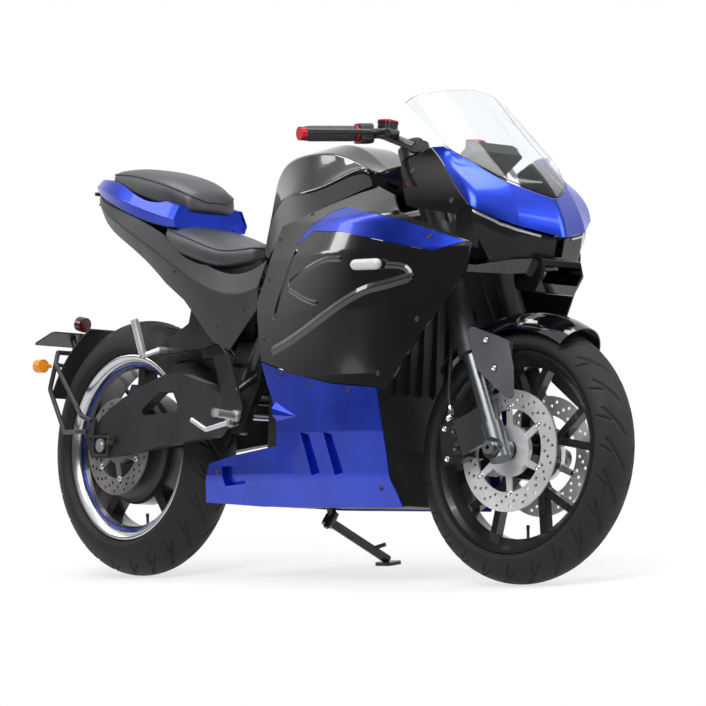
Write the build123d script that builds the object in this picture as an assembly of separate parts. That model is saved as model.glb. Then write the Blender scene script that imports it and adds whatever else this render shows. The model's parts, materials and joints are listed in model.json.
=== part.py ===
# Electric sport bike with a hub motor, faired from nose to tail, parked on its side stand
# Built upright from the rear tyre's contact point: X forward, Y to the rider's left, Z up
import os
from math import asin, cos, degrees, hypot, radians, sin, sqrt, tan

from build123d import *

# Main sizes
WHEELBASE = 1400
FRONT_TYRE_R = 296
FRONT_TYRE_W = 110
REAR_TYRE_R = 316
REAR_TYRE_W = 144
RIM_R = 230
FRONT_RIM_W = 92
REAR_RIM_W = 116
RAKE = 25
FORK_OFFSET = 30
FORK_HALF = 100
ARM_IN = 100
ARM_T = 30
STEER_REST = 7.7
STEER_LOCK = 27
LEAN = 10
PANEL = 3.5
GAP = 1.2
SEAT_FIT = 0.5
RUN_FIT = 0.6

# Points and directions that several pieces share
REAR_AXLE = Vector(0, 0, REAR_TYRE_R)
FRONT_AXLE = Vector(WHEELBASE, 0, FRONT_TYRE_R)
UP_FORK = Vector(-sin(radians(RAKE)), 0, cos(radians(RAKE)))
AHEAD_FORK = Vector(cos(radians(RAKE)), 0, sin(radians(RAKE)))
STEER_FOOT = FRONT_AXLE - AHEAD_FORK * FORK_OFFSET
STAND_PIVOT = Vector(612, 88, 142)
STAND_FOOT_X = 640
STAND_FOOT_Y = 255
STAND_FOLDED = Vector(-0.99, 0.12, 0)


def prism(outline, y_from, y_to, grow=0):
    """Side-view outline of (x, z) points, grown if asked, drawn out from one y to another."""
    face = make_face(Polyline(*[(x, y_from, z) for x, z in outline], close=True))
    if grow:
        face = offset(face, amount=grow)
    return extrude(face, amount=y_to - y_from, dir=(0, 1, 0))


def round_prism(outline, y_from, y_to, radius):
    """The same with every corner of the outline rounded."""
    face = make_face(rounded([(x, y_from, z) for x, z in outline], radius, closed=True))
    return extrude(face, amount=y_to - y_from, dir=(0, 1, 0))


def rod(start, end, radius):
    """Round bar between two points."""
    start, end = Vector(*start), Vector(*end)
    return Solid.make_cylinder(radius, (end - start).length, Plane(origin=start, z_dir=end - start))


def pipe(points, radius, bend):
    """Round bar along straight runs joined by bends."""
    path = rounded(points, bend)
    start = Plane(origin=path @ 0, z_dir=path % 0)
    return sweep(start * Circle(radius), path=path)


def ring(outer, inner, y_from, y_to):
    """Flat ring round the wheel's axle line."""
    face = Plane.XZ * (Circle(outer) - Circle(inner))
    return Pos(0, y_from, 0) * extrude(face, amount=y_to - y_from, dir=(0, 1, 0))


def disc(radius, y_from, y_to):
    """Plain round plate on the wheel's axle line."""
    return Pos(0, y_from, 0) * extrude(Plane.XZ * Circle(radius), amount=y_to - y_from, dir=(0, 1, 0))


def turned(profile):
    """Ring turned from (radius, y) points round the wheel's axle line."""
    return revolve(make_face(Polyline(*profile, close=True)), axis=Axis.Y)


def spread(piece, count, start=0):
    """Copies of a piece spaced evenly round the wheel's axle line."""
    return [Rot(0, start + 360 * number / count, 0) * piece for number in range(count)]


def both(piece):
    """A right-hand piece with its mirror image on the left."""
    return Compound([*piece.solids(), *mirror(piece, about=Plane.XZ).solids()])


def set_in(points, wall):
    """A run of 2-D points set off by the wall, to the right of its direction of travel."""
    normals = []
    for (a0, b0), (a1, b1) in zip(points, points[1:]):
        length = hypot(a1 - a0, b1 - b0)
        normals.append(((b1 - b0) / length, (a0 - a1) / length))
    moved = []
    for index, (a, b) in enumerate(points):
        before = normals[max(index - 1, 0)]
        after = normals[min(index, len(normals) - 1)]
        share = wall / (1 + before[0] * after[0] + before[1] * after[1])
        moved.append((a + share * (before[0] + after[0]), b + share * (before[1] + after[1])))
    return moved


def fit_blend(points, blend, closed):
    """Largest corner radius, up to the blend asked for, that the run's edges leave room for."""
    run = [Vector(*point) for point in points]
    if closed:
        run = [run[-1], *run, run[0]]
    bends = [0]
    for before, here, after in zip(run, run[1:], run[2:]):
        bends.append(tan(radians((here - before).get_angle(after - here)) / 2))
    bends.append(bends[1] if closed else 0)
    bends[0] = bends[-2] if closed else 0
    for start, end, bend, next_bend in zip(run, run[1:], bends, bends[1:]):
        blend = min(blend, 0.9 * (end - start).length / max(bend + next_bend, 0.001))
    return blend


def rounded(points, blend, closed=False):
    """Run of points with rounded corners."""
    return FilletPolyline(*points, radius=fit_blend(points, blend, closed), close=closed)


def shell(rows, wall, blend, at, depth=0):
    """Thin panel lofted through rows of outer points, its wall set in from the outside."""
    wires = []
    for level, points in rows:
        outer = set_in(points, depth) if depth else points
        inner = set_in(points, depth + wall)
        outside = rounded([at(level, a, b) for a, b in outer], blend)
        inside = rounded([at(level, a, b) for a, b in reversed(inner)], blend)
        ends = [Edge.make_line(outside @ 1, inside @ 0), Edge.make_line(inside @ 1, outside @ 0)]
        wires.append(Wire([*outside.edges(), ends[0], *inside.edges(), ends[1]]))
    return Solid.make_loft(wires)


def hull(rows, blend, at):
    """Solid lofted through closed rows of points with rounded corners."""
    wires = []
    for level, points in rows:
        wires.append(rounded([at(level, a, b) for a, b in points], blend, closed=True).wire())
    return Solid.make_loft(wires)


def on_right(x, y, z):
    """Point of a right-hand section: half width y at height z."""
    return (x, -y, z)


def in_plan(z, x, y):
    """Point of a level section."""
    return (x, y, z)


def mirror_run(points):
    """Half outline from the right side to the middle, made whole from the left side to the right."""
    return [(x, -y) for x, y in points[:-1]] + list(reversed(points))


# Wheels: tyre, rim, spokes, hub and discs, all made about an axle along Y
BEAD = 11
DISC_T = 4.5
FRONT_DISC_R = 138
FRONT_DISC_Y = 61
REAR_DISC_R = 120
REAR_DISC_Y = 84
AXLE_R = 8.5
MOTOR_R = 134
MOTOR_HALF = 58


def tyre(radius, width, rim_width):
    """Hollow tyre with a round crown, its beads inside the rim's flanges."""
    half, edge = width / 2, rim_width / 2
    side = radius - half
    seat = RIM_R - BEAD + SEAT_FIT
    outer = ThreePointArc((side, -half), (radius, 0), (side, half))
    inner = ThreePointArc((side, half - 10), (radius - 11, 0), (side, 10 - half))
    right = [(side, half), (RIM_R + 1, edge), (RIM_R + 1, edge - 7), (seat, edge - 7), (seat, edge - 15)]
    right.append((side, half - 10))
    left = [(r, -y) for r, y in reversed(right)]
    return revolve(make_face([outer, Polyline(*right), inner, Polyline(*left)]), axis=Axis.Y)


def rim(rim_width):
    """Well-based rim, open at both sides."""
    edge = rim_width / 2
    half = [(RIM_R, edge), (RIM_R, edge - 6), (RIM_R - BEAD, edge - 6), (RIM_R - BEAD, edge - 16)]
    half += [(RIM_R - 27, edge - 28)]
    inside = [(RIM_R - 35, edge - 30), (RIM_R - 18, edge - 10), (RIM_R - 8, edge)]
    outer = half + [(r, -y) for r, y in reversed(half)]
    return turned(outer + [(r, -y) for r, y in reversed(inside)] + inside)


def bar_in_wheel(r0, a0, w0, r1, a1, w1, thick):
    """Tapered bar in the wheel's plane from one radius and angle to another."""
    ends = []
    for radius, angle in ((r0, a0), (r1, a1)):
        ends.append(Vector(radius * cos(radians(angle)), 0, radius * sin(radians(angle))))
    along = (ends[1] - ends[0]).normalized()
    across = Vector(-along.Z, 0, along.X)
    corners = [ends[0] + across * w0, ends[1] + across * w1, ends[1] - across * w1, ends[0] - across * w0]
    return prism([(c.X, c.Z) for c in corners], -thick / 2, thick / 2)


def drilled(outer, inner, y, holes):
    """Brake disc with rings of holes; each row of holes: radius, count, start angle."""
    plate = ring(outer, inner, y - DISC_T / 2, y + DISC_T / 2)
    drills = []
    for radius, count, start in holes:
        drill = Pos(radius, 0, 0) * disc(4, y - DISC_T, y + DISC_T)
        drills += spread(drill, count, start)
    return plate - drills


# Front wheel: forked spokes from hub to rim, a drilled disc on each side
SPOKES = 5
front_tyre = tyre(FRONT_TYRE_R, FRONT_TYRE_W, FRONT_RIM_W)
forked = bar_in_wheel(28, 90, 15, 118, 90, 12, 26)
forked += bar_in_wheel(96, 90, 9, RIM_R - 30, 76, 9, 24)
forked += bar_in_wheel(96, 90, 9, RIM_R - 30, 104, 9, 24)
front_hub = disc(38, -50, 50) + spread(bar_in_wheel(20, 90, 14, 60, 90, 12, 100), SPOKES, 36)
front_rim = rim(FRONT_RIM_W) + spread(forked, SPOKES) + front_hub
front_rim -= disc(AXLE_R + RUN_FIT, -60, 60)
disc_holes = [(104, 20, 0), (115, 20, 6), (126, 20, 12)]
front_discs = []
for side in (-1, 1):
    rotor = drilled(FRONT_DISC_R, 94, side * FRONT_DISC_Y, disc_holes)
    inner_y, outer_y = sorted((side * 50.5, side * (FRONT_DISC_Y - 3)))
    carrier = ring(58, AXLE_R + 14, inner_y, outer_y)
    arm_y = side * FRONT_DISC_Y
    arms = spread(Pos(0, arm_y, 0) * bar_in_wheel(34, 90, 9, 98, 96, 7, DISC_T), 6)
    carrier += ring(58, AXLE_R + 14, min(arm_y - 3, arm_y + 2.25), max(arm_y - 2.25, arm_y + 3))
    front_discs.append(rotor + arms + carrier)

# Rear wheel: hub motor carried on short spokes, one drilled disc on the right
rear_tyre = tyre(REAR_TYRE_R, REAR_TYRE_W, REAR_RIM_W)
stub = bar_in_wheel(MOTOR_R - 12, 90, 16, RIM_R - 30, 90, 12, 40)
rear_rim = rim(REAR_RIM_W) + spread(stub, SPOKES) + ring(MOTOR_R + 6, MOTOR_R + SEAT_FIT, -24, 24)
rear_rim -= disc(MOTOR_R + SEAT_FIT, -30, 30)
motor_shape = [(AXLE_R + 8, 72), (44, 72), (44, 62), (96, MOTOR_HALF), (MOTOR_R - 8, MOTOR_HALF - 12)]
motor_shape += [(MOTOR_R, MOTOR_HALF - 22)]
hub_motor = turned(motor_shape + [(r, -y) for r, y in reversed(motor_shape)])
rear_holes = [(90, 18, 0), (100, 18, 7), (110, 18, 14)]
rear_disc = drilled(REAR_DISC_R, 78, -REAR_DISC_Y, rear_holes)
rear_disc += spread(Pos(0, -REAR_DISC_Y, 0) * bar_in_wheel(34, 90, 10, 82, 98, 8, DISC_T), 6)
rear_disc += ring(42, AXLE_R + 8, -REAR_DISC_Y - 2.25, -72 - SEAT_FIT)

wheel_front = Pos(*FRONT_AXLE)
wheel_rear = Pos(*REAR_AXLE)


def on_fork(along, ahead=0, y=0):
    """Point by its distance up the fork leg from the axle, and ahead of the leg's line."""
    return FRONT_AXLE + UP_FORK * along + AHEAD_FORK * ahead + Vector(0, y, 0)


# Fork: dark outer tubes above, slim sliders below, clamps and stem
TUBE_R = 27
SLIDER_R = 20
TUBE_FROM = 250
TUBE_TO = 775
LOW_CLAMP = 540
TOP_CLAMP = 690
STEM_R = 15
CLAMP_H = 34
fork_tube = rod(on_fork(TUBE_FROM, y=-FORK_HALF), on_fork(TUBE_TO, y=-FORK_HALF), TUBE_R)
fork_tube += rod(on_fork(TUBE_FROM - 14, y=-FORK_HALF), on_fork(TUBE_FROM, y=-FORK_HALF), TUBE_R + 3)
slider_bore = rod(on_fork(TUBE_FROM - 30, y=-FORK_HALF), on_fork(TUBE_TO - 20, y=-FORK_HALF), SLIDER_R + SEAT_FIT)
fork_tubes = both(fork_tube - slider_bore)
slider = rod(on_fork(0, y=-FORK_HALF), on_fork(TUBE_FROM + 120, y=-FORK_HALF), SLIDER_R)
slider += rod(on_fork(-26, y=-FORK_HALF), on_fork(62, y=-FORK_HALF), SLIDER_R + 6)
slider += rod(on_fork(0, y=-FORK_HALF - 28), on_fork(0, y=-FORK_HALF + 28), 24)
lug = [on_fork(30, -98), on_fork(112, -98), on_fork(112, -10), on_fork(26, -10)]
slider += prism([(p.X, p.Z) for p in lug], -FORK_HALF - 6, -FORK_HALF + 6)
slider -= rod(on_fork(0, y=-FORK_HALF - 40), on_fork(0, y=-FORK_HALF + 40), AXLE_R + SEAT_FIT)
fork_lowers = both(slider)
front_axle = rod(on_fork(0, y=-FORK_HALF - 34), on_fork(0, y=FORK_HALF + 34), AXLE_R)
for side in (-1, 1):
    nut = rod(on_fork(0, y=side * (FORK_HALF + 29)), on_fork(0, y=side * (FORK_HALF + 38)), 15)
    spacer = rod(on_fork(0, y=side * 51), on_fork(0, y=side * (FORK_HALF - 29)), 13)
    front_axle += [nut, spacer]
front_axle -= rod(on_fork(0, y=-FORK_HALF - 50), on_fork(0, y=FORK_HALF + 50), 5)


def clamp(along, reach):
    """Clamp plate that joins both fork tubes to the stem."""
    plate = Plane(origin=on_fork(along), x_dir=(0, 1, 0), z_dir=UP_FORK)
    outline = SlotCenterToCenter(2 * FORK_HALF, 2 * (TUBE_R + 11)) + Pos(0, reach) * Circle(36)
    outline += Pos(0, reach / 2) * Rectangle(2 * FORK_HALF - 30, 56)
    outline -= Pos(-FORK_HALF, 0) * Circle(TUBE_R + SEAT_FIT)
    outline -= Pos(FORK_HALF, 0) * Circle(TUBE_R + SEAT_FIT)
    return extrude(plate * outline, amount=CLAMP_H / 2, both=True)


across_fork = Plane(origin=on_fork(LOW_CLAMP), x_dir=(0, 1, 0), z_dir=UP_FORK).y_dir
to_stem = FORK_OFFSET if across_fork.X < 0 else -FORK_OFFSET
triple_clamps = clamp(LOW_CLAMP, to_stem) + clamp(TOP_CLAMP, to_stem)
triple_clamps += rod(on_fork(LOW_CLAMP, -FORK_OFFSET), on_fork(TOP_CLAMP + 26, -FORK_OFFSET), STEM_R)
STAND_BORE_R = 8.5
STAND_BORE_DEEP = 40
bore_mouth = on_fork(LOW_CLAMP - CLAMP_H / 2, -FORK_OFFSET)
triple_clamps -= rod(bore_mouth, bore_mouth + UP_FORK * STAND_BORE_DEEP, STAND_BORE_R)

# Mudguard over the front tyre and the grey stay plates that carry it
GUARD_R = FRONT_TYRE_R + 24
GUARD_W = 70
guard_outer = ThreePointArc((GUARD_R - 46, -GUARD_W), (GUARD_R + 3, 0), (GUARD_R - 46, GUARD_W))
guard_inner = ThreePointArc((GUARD_R - 46, GUARD_W - 3), (GUARD_R, 0), (GUARD_R - 46, 3 - GUARD_W))
guard_ends = [Line(guard_outer @ 1, guard_inner @ 0), Line(guard_inner @ 1, guard_outer @ 0)]
guard_face = make_face([guard_outer, guard_ends[0], guard_inner, guard_ends[1]])
GUARD_FROM = 61
GUARD_ARC = 80
front_fender = wheel_front * (Rot(0, -GUARD_FROM, 0) * revolve(guard_face, axis=Axis.Y, revolution_arc=-GUARD_ARC))
STAY_OUT = FORK_HALF + 34
stay = [(1306, 575), (1430, 538), (1452, 479), (1463, 392), (1346, 474)]
fender_stay = round_prism(stay, -STAY_OUT, -STAY_OUT + 6, 12)
fender_stay += prism([(1336, 560), (1396, 540), (1396, 512), (1352, 512)], -STAY_OUT + 5, -GUARD_W - 1)
fender_stay -= [rod((x, -STAY_OUT - 5, z), (x, -STAY_OUT + 3, z), 9) for x, z in ((1370, 538), (1400, 474))]
fender_stays = both(fender_stay)

# Brake callipers behind the legs, with room for the disc
CALIPER_GAP = 5
cheek = [on_fork(30, -172), on_fork(128, -148), on_fork(122, -88), on_fork(24, -92)]
caliper = prism([(p.X, p.Z) for p in cheek], -FORK_HALF + 7, -FORK_HALF + 60)
slot_half = DISC_T / 2 + CALIPER_GAP
caliper -= wheel_front * ring(FRONT_DISC_R + 6, 40, -FRONT_DISC_Y - slot_half, -FRONT_DISC_Y + slot_half)
front_calipers = both(caliper)

# Handlebars: stub bars clamped to the fork tubes, grips, levers and reservoirs
BAR_R = 11
GRIP_R = 17
BAR_CLAMP = 750
grip_in = Vector(1000, -222, 1008)
grip_out = Vector(958, -338, 992)
bar_dir = (grip_out - grip_in).normalized()
bar_root = on_fork(BAR_CLAMP, 26, -FORK_HALF - 32)
handlebar = pipe([bar_root, grip_in - bar_dir * 70, grip_out], BAR_R, 25)
handlebar += rod(on_fork(BAR_CLAMP - 16, y=-FORK_HALF), on_fork(BAR_CLAMP + 16, y=-FORK_HALF), TUBE_R + 10)
handlebar += rod(on_fork(BAR_CLAMP, 14, -FORK_HALF - 20), bar_root + AHEAD_FORK * 4, 15)
handlebar -= rod(on_fork(BAR_CLAMP - 90, y=-FORK_HALF), on_fork(BAR_CLAMP + 60, y=-FORK_HALF), TUBE_R + SEAT_FIT)
housing = Plane(origin=grip_in - bar_dir * 42, x_dir=(0, 0, 1), z_dir=bar_dir)
handlebar += extrude(housing * RectangleRounded(46, 42, 10), amount=32)
perch = grip_in - bar_dir * 52
handlebar += rod(perch, perch + Vector(58, 0, 0), 12)
handlebar += rod(perch + Vector(48, 22, 2), perch + Vector(60, -20, -4), 10)
cup = Plane(origin=perch + Vector(22, 20, 8), x_dir=(1, 0, 0), z_dir=(0, 0, 1))
handlebar += extrude(cup * RectangleRounded(34, 40, 8), amount=20)
lever = [perch + Vector(46, -8, 0), perch + Vector(48, -55, -6), perch + Vector(-30, -190, -22)]
handlebar += pipe(lever, 6.5, 30)
handlebars = both(handlebar)
grip = rod(grip_in, grip_out, GRIP_R) - rod(grip_in - bar_dir * 5, grip_out + bar_dir * 5, BAR_R + SEAT_FIT)
grips = both(grip)
weight = rod(grip_out + bar_dir * 0.5, grip_out + bar_dir * 16, GRIP_R - 1)
collar = rod(grip_in - bar_dir * 8, grip_in - bar_dir * 1, GRIP_R + 2)
collar -= rod(grip_in - bar_dir * 12, grip_in + bar_dir * 5, BAR_R + SEAT_FIT)
bar_ends = both(Compound([weight, collar.solid()]))

# Brake hoses from the calipers up to the lower clamp
HOSE_R = 4.5
hose_run = [on_fork(132, -118, -84), on_fork(190, -104, -84), on_fork(320, -46, -84), on_fork(515, -46, -70)]
hose = pipe(hose_run, HOSE_R, 60)
brake_hoses = both(hose)

# Frame: head tube, two spars, seat rails, swingarm plates, stand bracket
SPAR_R = 17
RAIL_R = 12
PIVOT = (440, 0, 392)
HEAD_R = 27
frame = rod(on_fork(LOW_CLAMP + 30, -FORK_OFFSET), on_fork(TOP_CLAMP - 30, -FORK_OFFSET), HEAD_R)
side_frame = pipe([(1108, -18, 852), (980, -105, 822), (640, -112, 660), (500, -84, 470)], SPAR_R, 60)
side_frame += pipe([(640, -104, 676), (420, -84, 684), (180, -72, 762), (-60, -50, 868)], RAIL_R, 60)
side_frame += pipe([(470, -84, 500), (330, -84, 630), (180, -72, 758)], RAIL_R, 60)
hanger = [(300, 688), (420, 568), (352, 552), (170, 536), (164, 556), (282, 612)]
side_frame += round_prism(hanger, -100, -92, 6)
plate = [(400, 352), (490, 340), (560, 470), (560, 560), (470, 560), (410, 440)]
side_frame += round_prism(plate, -94, -74, 14)
REST_Y = ARM_IN + ARM_T + 12
rest = [(440, 528), (502, 528), (560, 402), (544, 362), (500, 352), (476, 440)]
side_frame += round_prism(rest, -REST_Y - 5, -REST_Y, 8)
side_frame += rod((478, -90, 510), (478, -REST_Y - 2, 510), 10) + rod((540, -90, 480), (532, -REST_Y - 2, 440), 8)
frame += [side_frame, mirror(side_frame, about=Plane.XZ)]
frame += rod((480, -90, 520), (480, 90, 520), 14)
frame += rod((520, -84, 400), (520, 84, 400), 14)
frame += rod((180, -72, 761), (180, 72, 761), 10)
stem_room = rod(on_fork(LOW_CLAMP, -FORK_OFFSET), on_fork(TOP_CLAMP, -FORK_OFFSET), STEM_R + RUN_FIT)
frame -= stem_room
frame += pipe([(560, 84, 470), (600, 84, 260), (604, 84, 186)], 14, 60)

# Swingarm: a cast arm each side with a three-cornered window, joined by a cross tube
arm = [(-76, 346), (-52, 284), (50, 292), (190, 308), (300, 322), (425, 334), (470, 372), (468, 430)]
arm += [(400, 462), (300, 488), (245, 490), (200, 478), (110, 449), (20, 408), (-40, 366)]
window = [(120, 386), (212, 444), (278, 446), (292, 396)]
swing_side = round_prism(arm, -ARM_IN - ARM_T, -ARM_IN, 14)
swing_side -= round_prism(window, -ARM_IN - ARM_T - 5, -ARM_IN + 5, 10)
swing_side -= round_prism([(-52, 338), (-34, 300), (18, 304), (12, 346)], -ARM_IN - ARM_T - 5, -ARM_IN - 18, 5)
swing_side -= rod((0, -150, REAR_TYRE_R), (0, -80, REAR_TYRE_R), AXLE_R + SEAT_FIT)
swing_side -= rod((PIVOT[0], -150, PIVOT[2]), (PIVOT[0], -80, PIVOT[2]), 12 + SEAT_FIT)
SPOOL_R = 4
SPOOL_DEEP = 17
SPOOL_SINK = 1.5
SPOOL = (40, -ARM_IN - ARM_T - 12, 330)
swing_side += rod((SPOOL[0], -ARM_IN - 20, SPOOL[2]), SPOOL, 13)
swing_side -= rod(SPOOL, (SPOOL[0], SPOOL[1] + SPOOL_DEEP, SPOOL[2]), SPOOL_R)
spool_mouth = Plane(origin=SPOOL, z_dir=(0, 1, 0)) * Pos(0, 0, SPOOL_SINK / 2)
swing_side -= spool_mouth * Cone(SPOOL_R + SPOOL_SINK, SPOOL_R, SPOOL_SINK)
swingarm = swing_side + mirror(swing_side, about=Plane.XZ)
swingarm += rod((372, -ARM_IN - 2, 420), (372, ARM_IN + 2, 420), 24)
pivot_bolt = rod((PIVOT[0], -ARM_IN - ARM_T - 8, PIVOT[2]), (PIVOT[0], ARM_IN + ARM_T + 8, PIVOT[2]), 12)
frame -= rod((PIVOT[0], -99, PIVOT[2]), (PIVOT[0], 99, PIVOT[2]), 12 + SEAT_FIT)
rear_axle = rod((0, -ARM_IN - ARM_T - 14, REAR_TYRE_R), (0, ARM_IN + ARM_T + 14, REAR_TYRE_R), AXLE_R)
for side in (-1, 1):
    face_y = side * (ARM_IN + ARM_T + 0.5)
    rear_axle += rod((0, face_y, REAR_TYRE_R), (0, face_y + side * 12, REAR_TYRE_R), 17)
    rear_axle += rod((0, side * 92, REAR_TYRE_R), (0, side * (ARM_IN - 0.5), REAR_TYRE_R), 14)
hub_motor -= disc(AXLE_R + RUN_FIT, -80, 80)

# Rear calliper above the disc and the shock absorber ahead of the wheel
pad = [(40, 420), (96, 392), (120, 436), (62, 468)]
rear_caliper = prism(pad, -ARM_IN + 1.5, -ARM_IN + 36)
rear_caliper -= wheel_rear * ring(REAR_DISC_R + 6, 40, -REAR_DISC_Y - slot_half, -REAR_DISC_Y + slot_half)
shock = rod((420, 0, 470), (470, 0, 640), 12)
coils = [rod(Vector(420, 0, 470) + Vector(50, 0, 170) * (0.2 + 0.08 * n),
             Vector(420, 0, 470) + Vector(50, 0, 170) * (0.25 + 0.08 * n), 28) for n in range(8)]
rear_shock = shock + coils

# Battery and controller case low between the spars
battery_case = fillet(Box(345, 224, 310).edges(), 12)
battery_case = Pos(828, 0, 464) * battery_case + Pos(600, 0, 385) * fillet(Box(120, 110, 160).edges(), 8)
controller = Pos(348, 0, 590) * fillet(Box(112, 132, 130).edges(), 10)
battery_case = Compound([battery_case.solid(), controller.solid()])

# Fairing form: half width at each height, front to back, cut into its panels below
FORM_Z = (905, 830, 750, 620, 470, 340, 235, 168)
FORM = [
    (380, (118, 130, 140, 148, 150, 146, 138, 108)),
    (640, (128, 150, 164, 173, 172, 166, 157, 122)),
    (840, (138, 184, 204, 208, 194, 182, 168, 128)),
    (1040, (150, 220, 234, 228, 206, 192, 175, 134)),
    (1230, (150, 208, 220, 214, 202, 190, 174, 132)),
    (1420, (112, 142, 150, 148, 142, 134, 126, 106)),
]
form_rows = [(x, list(zip(halves, FORM_Z))) for x, halves in FORM]
side_form = shell(form_rows, PANEL, 45, on_right)


def form_inside(depth):
    """Solid inside of the fairing form, set in from its outer face on both sides."""
    rows = []
    for x, points in form_rows:
        half = set_in(points, depth)
        rows.append((x, [(-y, z) for y, z in half] + [(y, z) for y, z in reversed(half)]))
    return hull(rows, 30, lambda x, y, z: (x, y, z))


side_line = [(700, 826), (760, 838), (900, 872), (1035, 905), (1120, 880), (1180, 836), (1380, 764), (1372, 700)]
side_line += [(1306, 609), (1226, 521), (1148, 433), (1111, 440)]
side_line += [(944, 453), (791, 478), (657, 509), (640, 585), (628, 650), (664, 720)]
strip_line = [(792, 776), (828, 812), (916, 849), (970, 858), (1200, 816), (1366, 765), (1290, 744), (991, 798)]
strip_line += [(860, 806)]
pan_line = [(392, 178), (436, 270), (544, 289), (719, 309), (722, 358), (706, 417), (657, 506)]
pan_line += [(791, 475), (944, 450), (1111, 437), (1132, 293), (1138, 164), (807, 160)]
side_panel = (side_form & prism(side_line, -300, -100)) - prism(strip_line, -300, -100, grow=GAP)
strip = side_form & prism(strip_line, -300, -100)
pan = side_form & prism(pan_line, -300, -60)
POCKETS = [
    [(818, 340), (850, 334), (882, 246), (850, 240)],
    [(906, 340), (938, 334), (970, 246), (938, 240)],
    [(487, 262), (572, 266), (580, 222), (492, 216)],
]
POCKET_DEEP = 14
skin_form, floor_form, back_form = [form_inside(depth) for depth in (1, POCKET_DEEP, POCKET_DEEP + PANEL)]
for outline in POCKETS:
    pan += (prism(outline, -300, -60, grow=PANEL) & skin_form) - back_form
    pan -= prism(outline, -300, -60) - floor_form
side_panels = both(side_panel)
accent_strips = both(strip)
belly_pans = both(pan)

# Inner panel behind the front wheel with its upright fins, and the pan's floor
wall = [(1062, 740), (1076, 740), (1076, 300), (1112, 172), (1098, 168), (1062, 296)]
inner_panel = prism(wall, -250, 250) + prism([(520, 172), (1100, 172), (1100, 176), (520, 176)], -250, 250)
inner_panel = inner_panel & form_inside(PANEL + GAP)
inner_panel -= prism([(1150, 690), (1040, 690), (1040, 820), (1150, 820)], -92, 92)
fin = [(1075, 640), (1088, 630), (1088, 430), (1075, 420)]
inner_panel += [prism(fin, y - 3, y + 3) for y in range(-120, 121, 40)]
inner_panel -= prism([(560, 160), (660, 160), (660, 180), (560, 180)], 60, 130)

# Nose and screen form: level outlines from the right side to the middle
NOSE = [
    (690, [(1226, -182), (1330, -164), (1420, -104), (1478, 0)]),
    (742, [(1200, -198), (1368, -177), (1452, -106), (1502, 0)]),
    (780, [(1190, -202), (1386, -182), (1462, -106), (1508, 0)]),
    (842, [(1160, -202), (1397, -182), (1450, -98), (1486, 0)]),
    (905, [(1140, -192), (1356, -172), (1408, -92), (1446, 0)]),
    (985, [(1110, -176), (1282, -159), (1320, -86), (1352, 0)]),
    (1060, [(1080, -162), (1196, -149), (1238, -80), (1268, 0)]),
    (1145, [(1020, -150), (1100, -141), (1144, -74), (1166, 0)]),
]
LAMP_DEEP = 34
nose_rows = [(z, mirror_run(points)) for z, points in NOSE]
nose_form = shell(nose_rows[:6], PANEL, 26, in_plan)
lens_form = shell(nose_rows[:4], PANEL, 26, in_plan, depth=9)
screen_form = shell(nose_rows[3:], PANEL, 26, in_plan)
blue_line = [(1230, 984), (1386, 846), (1430, 816), (1535, 766), (1535, 836), (1464, 870), (1266, 984)]
side_cowl_line = [(1140, 952), (1227, 983), (1382, 845), (1350, 824), (1190, 850)]
lamp_line = [(1386, 838), (1430, 808), (1528, 760), (1520, 742), (1400, 716)]
chin_line = [(1262, 752), (1330, 719), (1376, 712), (1520, 740), (1520, 716), (1430, 694), (1340, 698)]
screen_line = [(1116, 1092), (1190, 1137), (1300, 1140), (1500, 960), (1500, 856), (1464, 874), (1268, 987)]
nose_cowl = nose_form & prism(blue_line, -250, 250)
headlamps = (lens_form & prism(lamp_line, -250, 250)) - Pos(1450, 0, 780) * Box(200, 24, 200)
windscreen = screen_form & prism(screen_line, -250, 250)
nose_panels = nose_form & (prism(side_cowl_line, -250, 250) + prism(chin_line, -250, 250))
bowl_form = shell(nose_rows[:4], PANEL, 26, in_plan, depth=LAMP_DEEP)
lamp_bowls = bowl_form & prism(lamp_line, -250, 250, grow=4)
PROJECTORS = [((1402, -125, 777), (0.68, -0.73, 0), 16), ((1450, -59, 770), (0.92, -0.4, 0), 13)]
for centre, facing, radius in PROJECTORS:
    back = Vector(*centre) - Vector(*facing) * 14
    projector = rod(back, back + Vector(*facing) * 18, radius)
    lamp_bowls += [projector, mirror(projector, about=Plane.XZ)]
nose_panels += lamp_bowls
duct = [(1404, 716), (1496, 732), (1508, 694), (1476, 652), (1412, 664)]
nose_panels += round_prism(duct, -60, 60, 8) - prism([(1430, 706), (1520, 716), (1520, 676), (1440, 670)], -54, 54)
dash = Plane(origin=(1246, 0, 958), x_dir=(0, 1, 0), z_dir=(-0.55, 0, 0.83))
dashboard = extrude(dash * RectangleRounded(150, 84, 14), amount=26)

# Tank cover, a solid form over the battery
TANK = [
    (514, [(50, 744), (60, 760), (46, 778), (22, 784)]),
    (550, [(72, 756), (84, 796), (66, 848), (30, 860)]),
    (592, [(84, 788), (98, 862), (82, 960), (38, 980)]),
    (655, [(106, 812), (124, 892), (98, 990), (46, 1008)]),
    (745, [(134, 836), (152, 902), (110, 998), (50, 1020)]),
    (860, [(142, 864), (157, 918), (108, 986), (50, 1008)]),
    (990, [(124, 902), (134, 926), (96, 950), (46, 964)]),
]
tank_cover = hull([(x, [(-y, z) for y, z in half] + [(y, z) for y, z in reversed(half)]) for x, half in TANK],
                  14, lambda x, y, z: (x, y, z))

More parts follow.
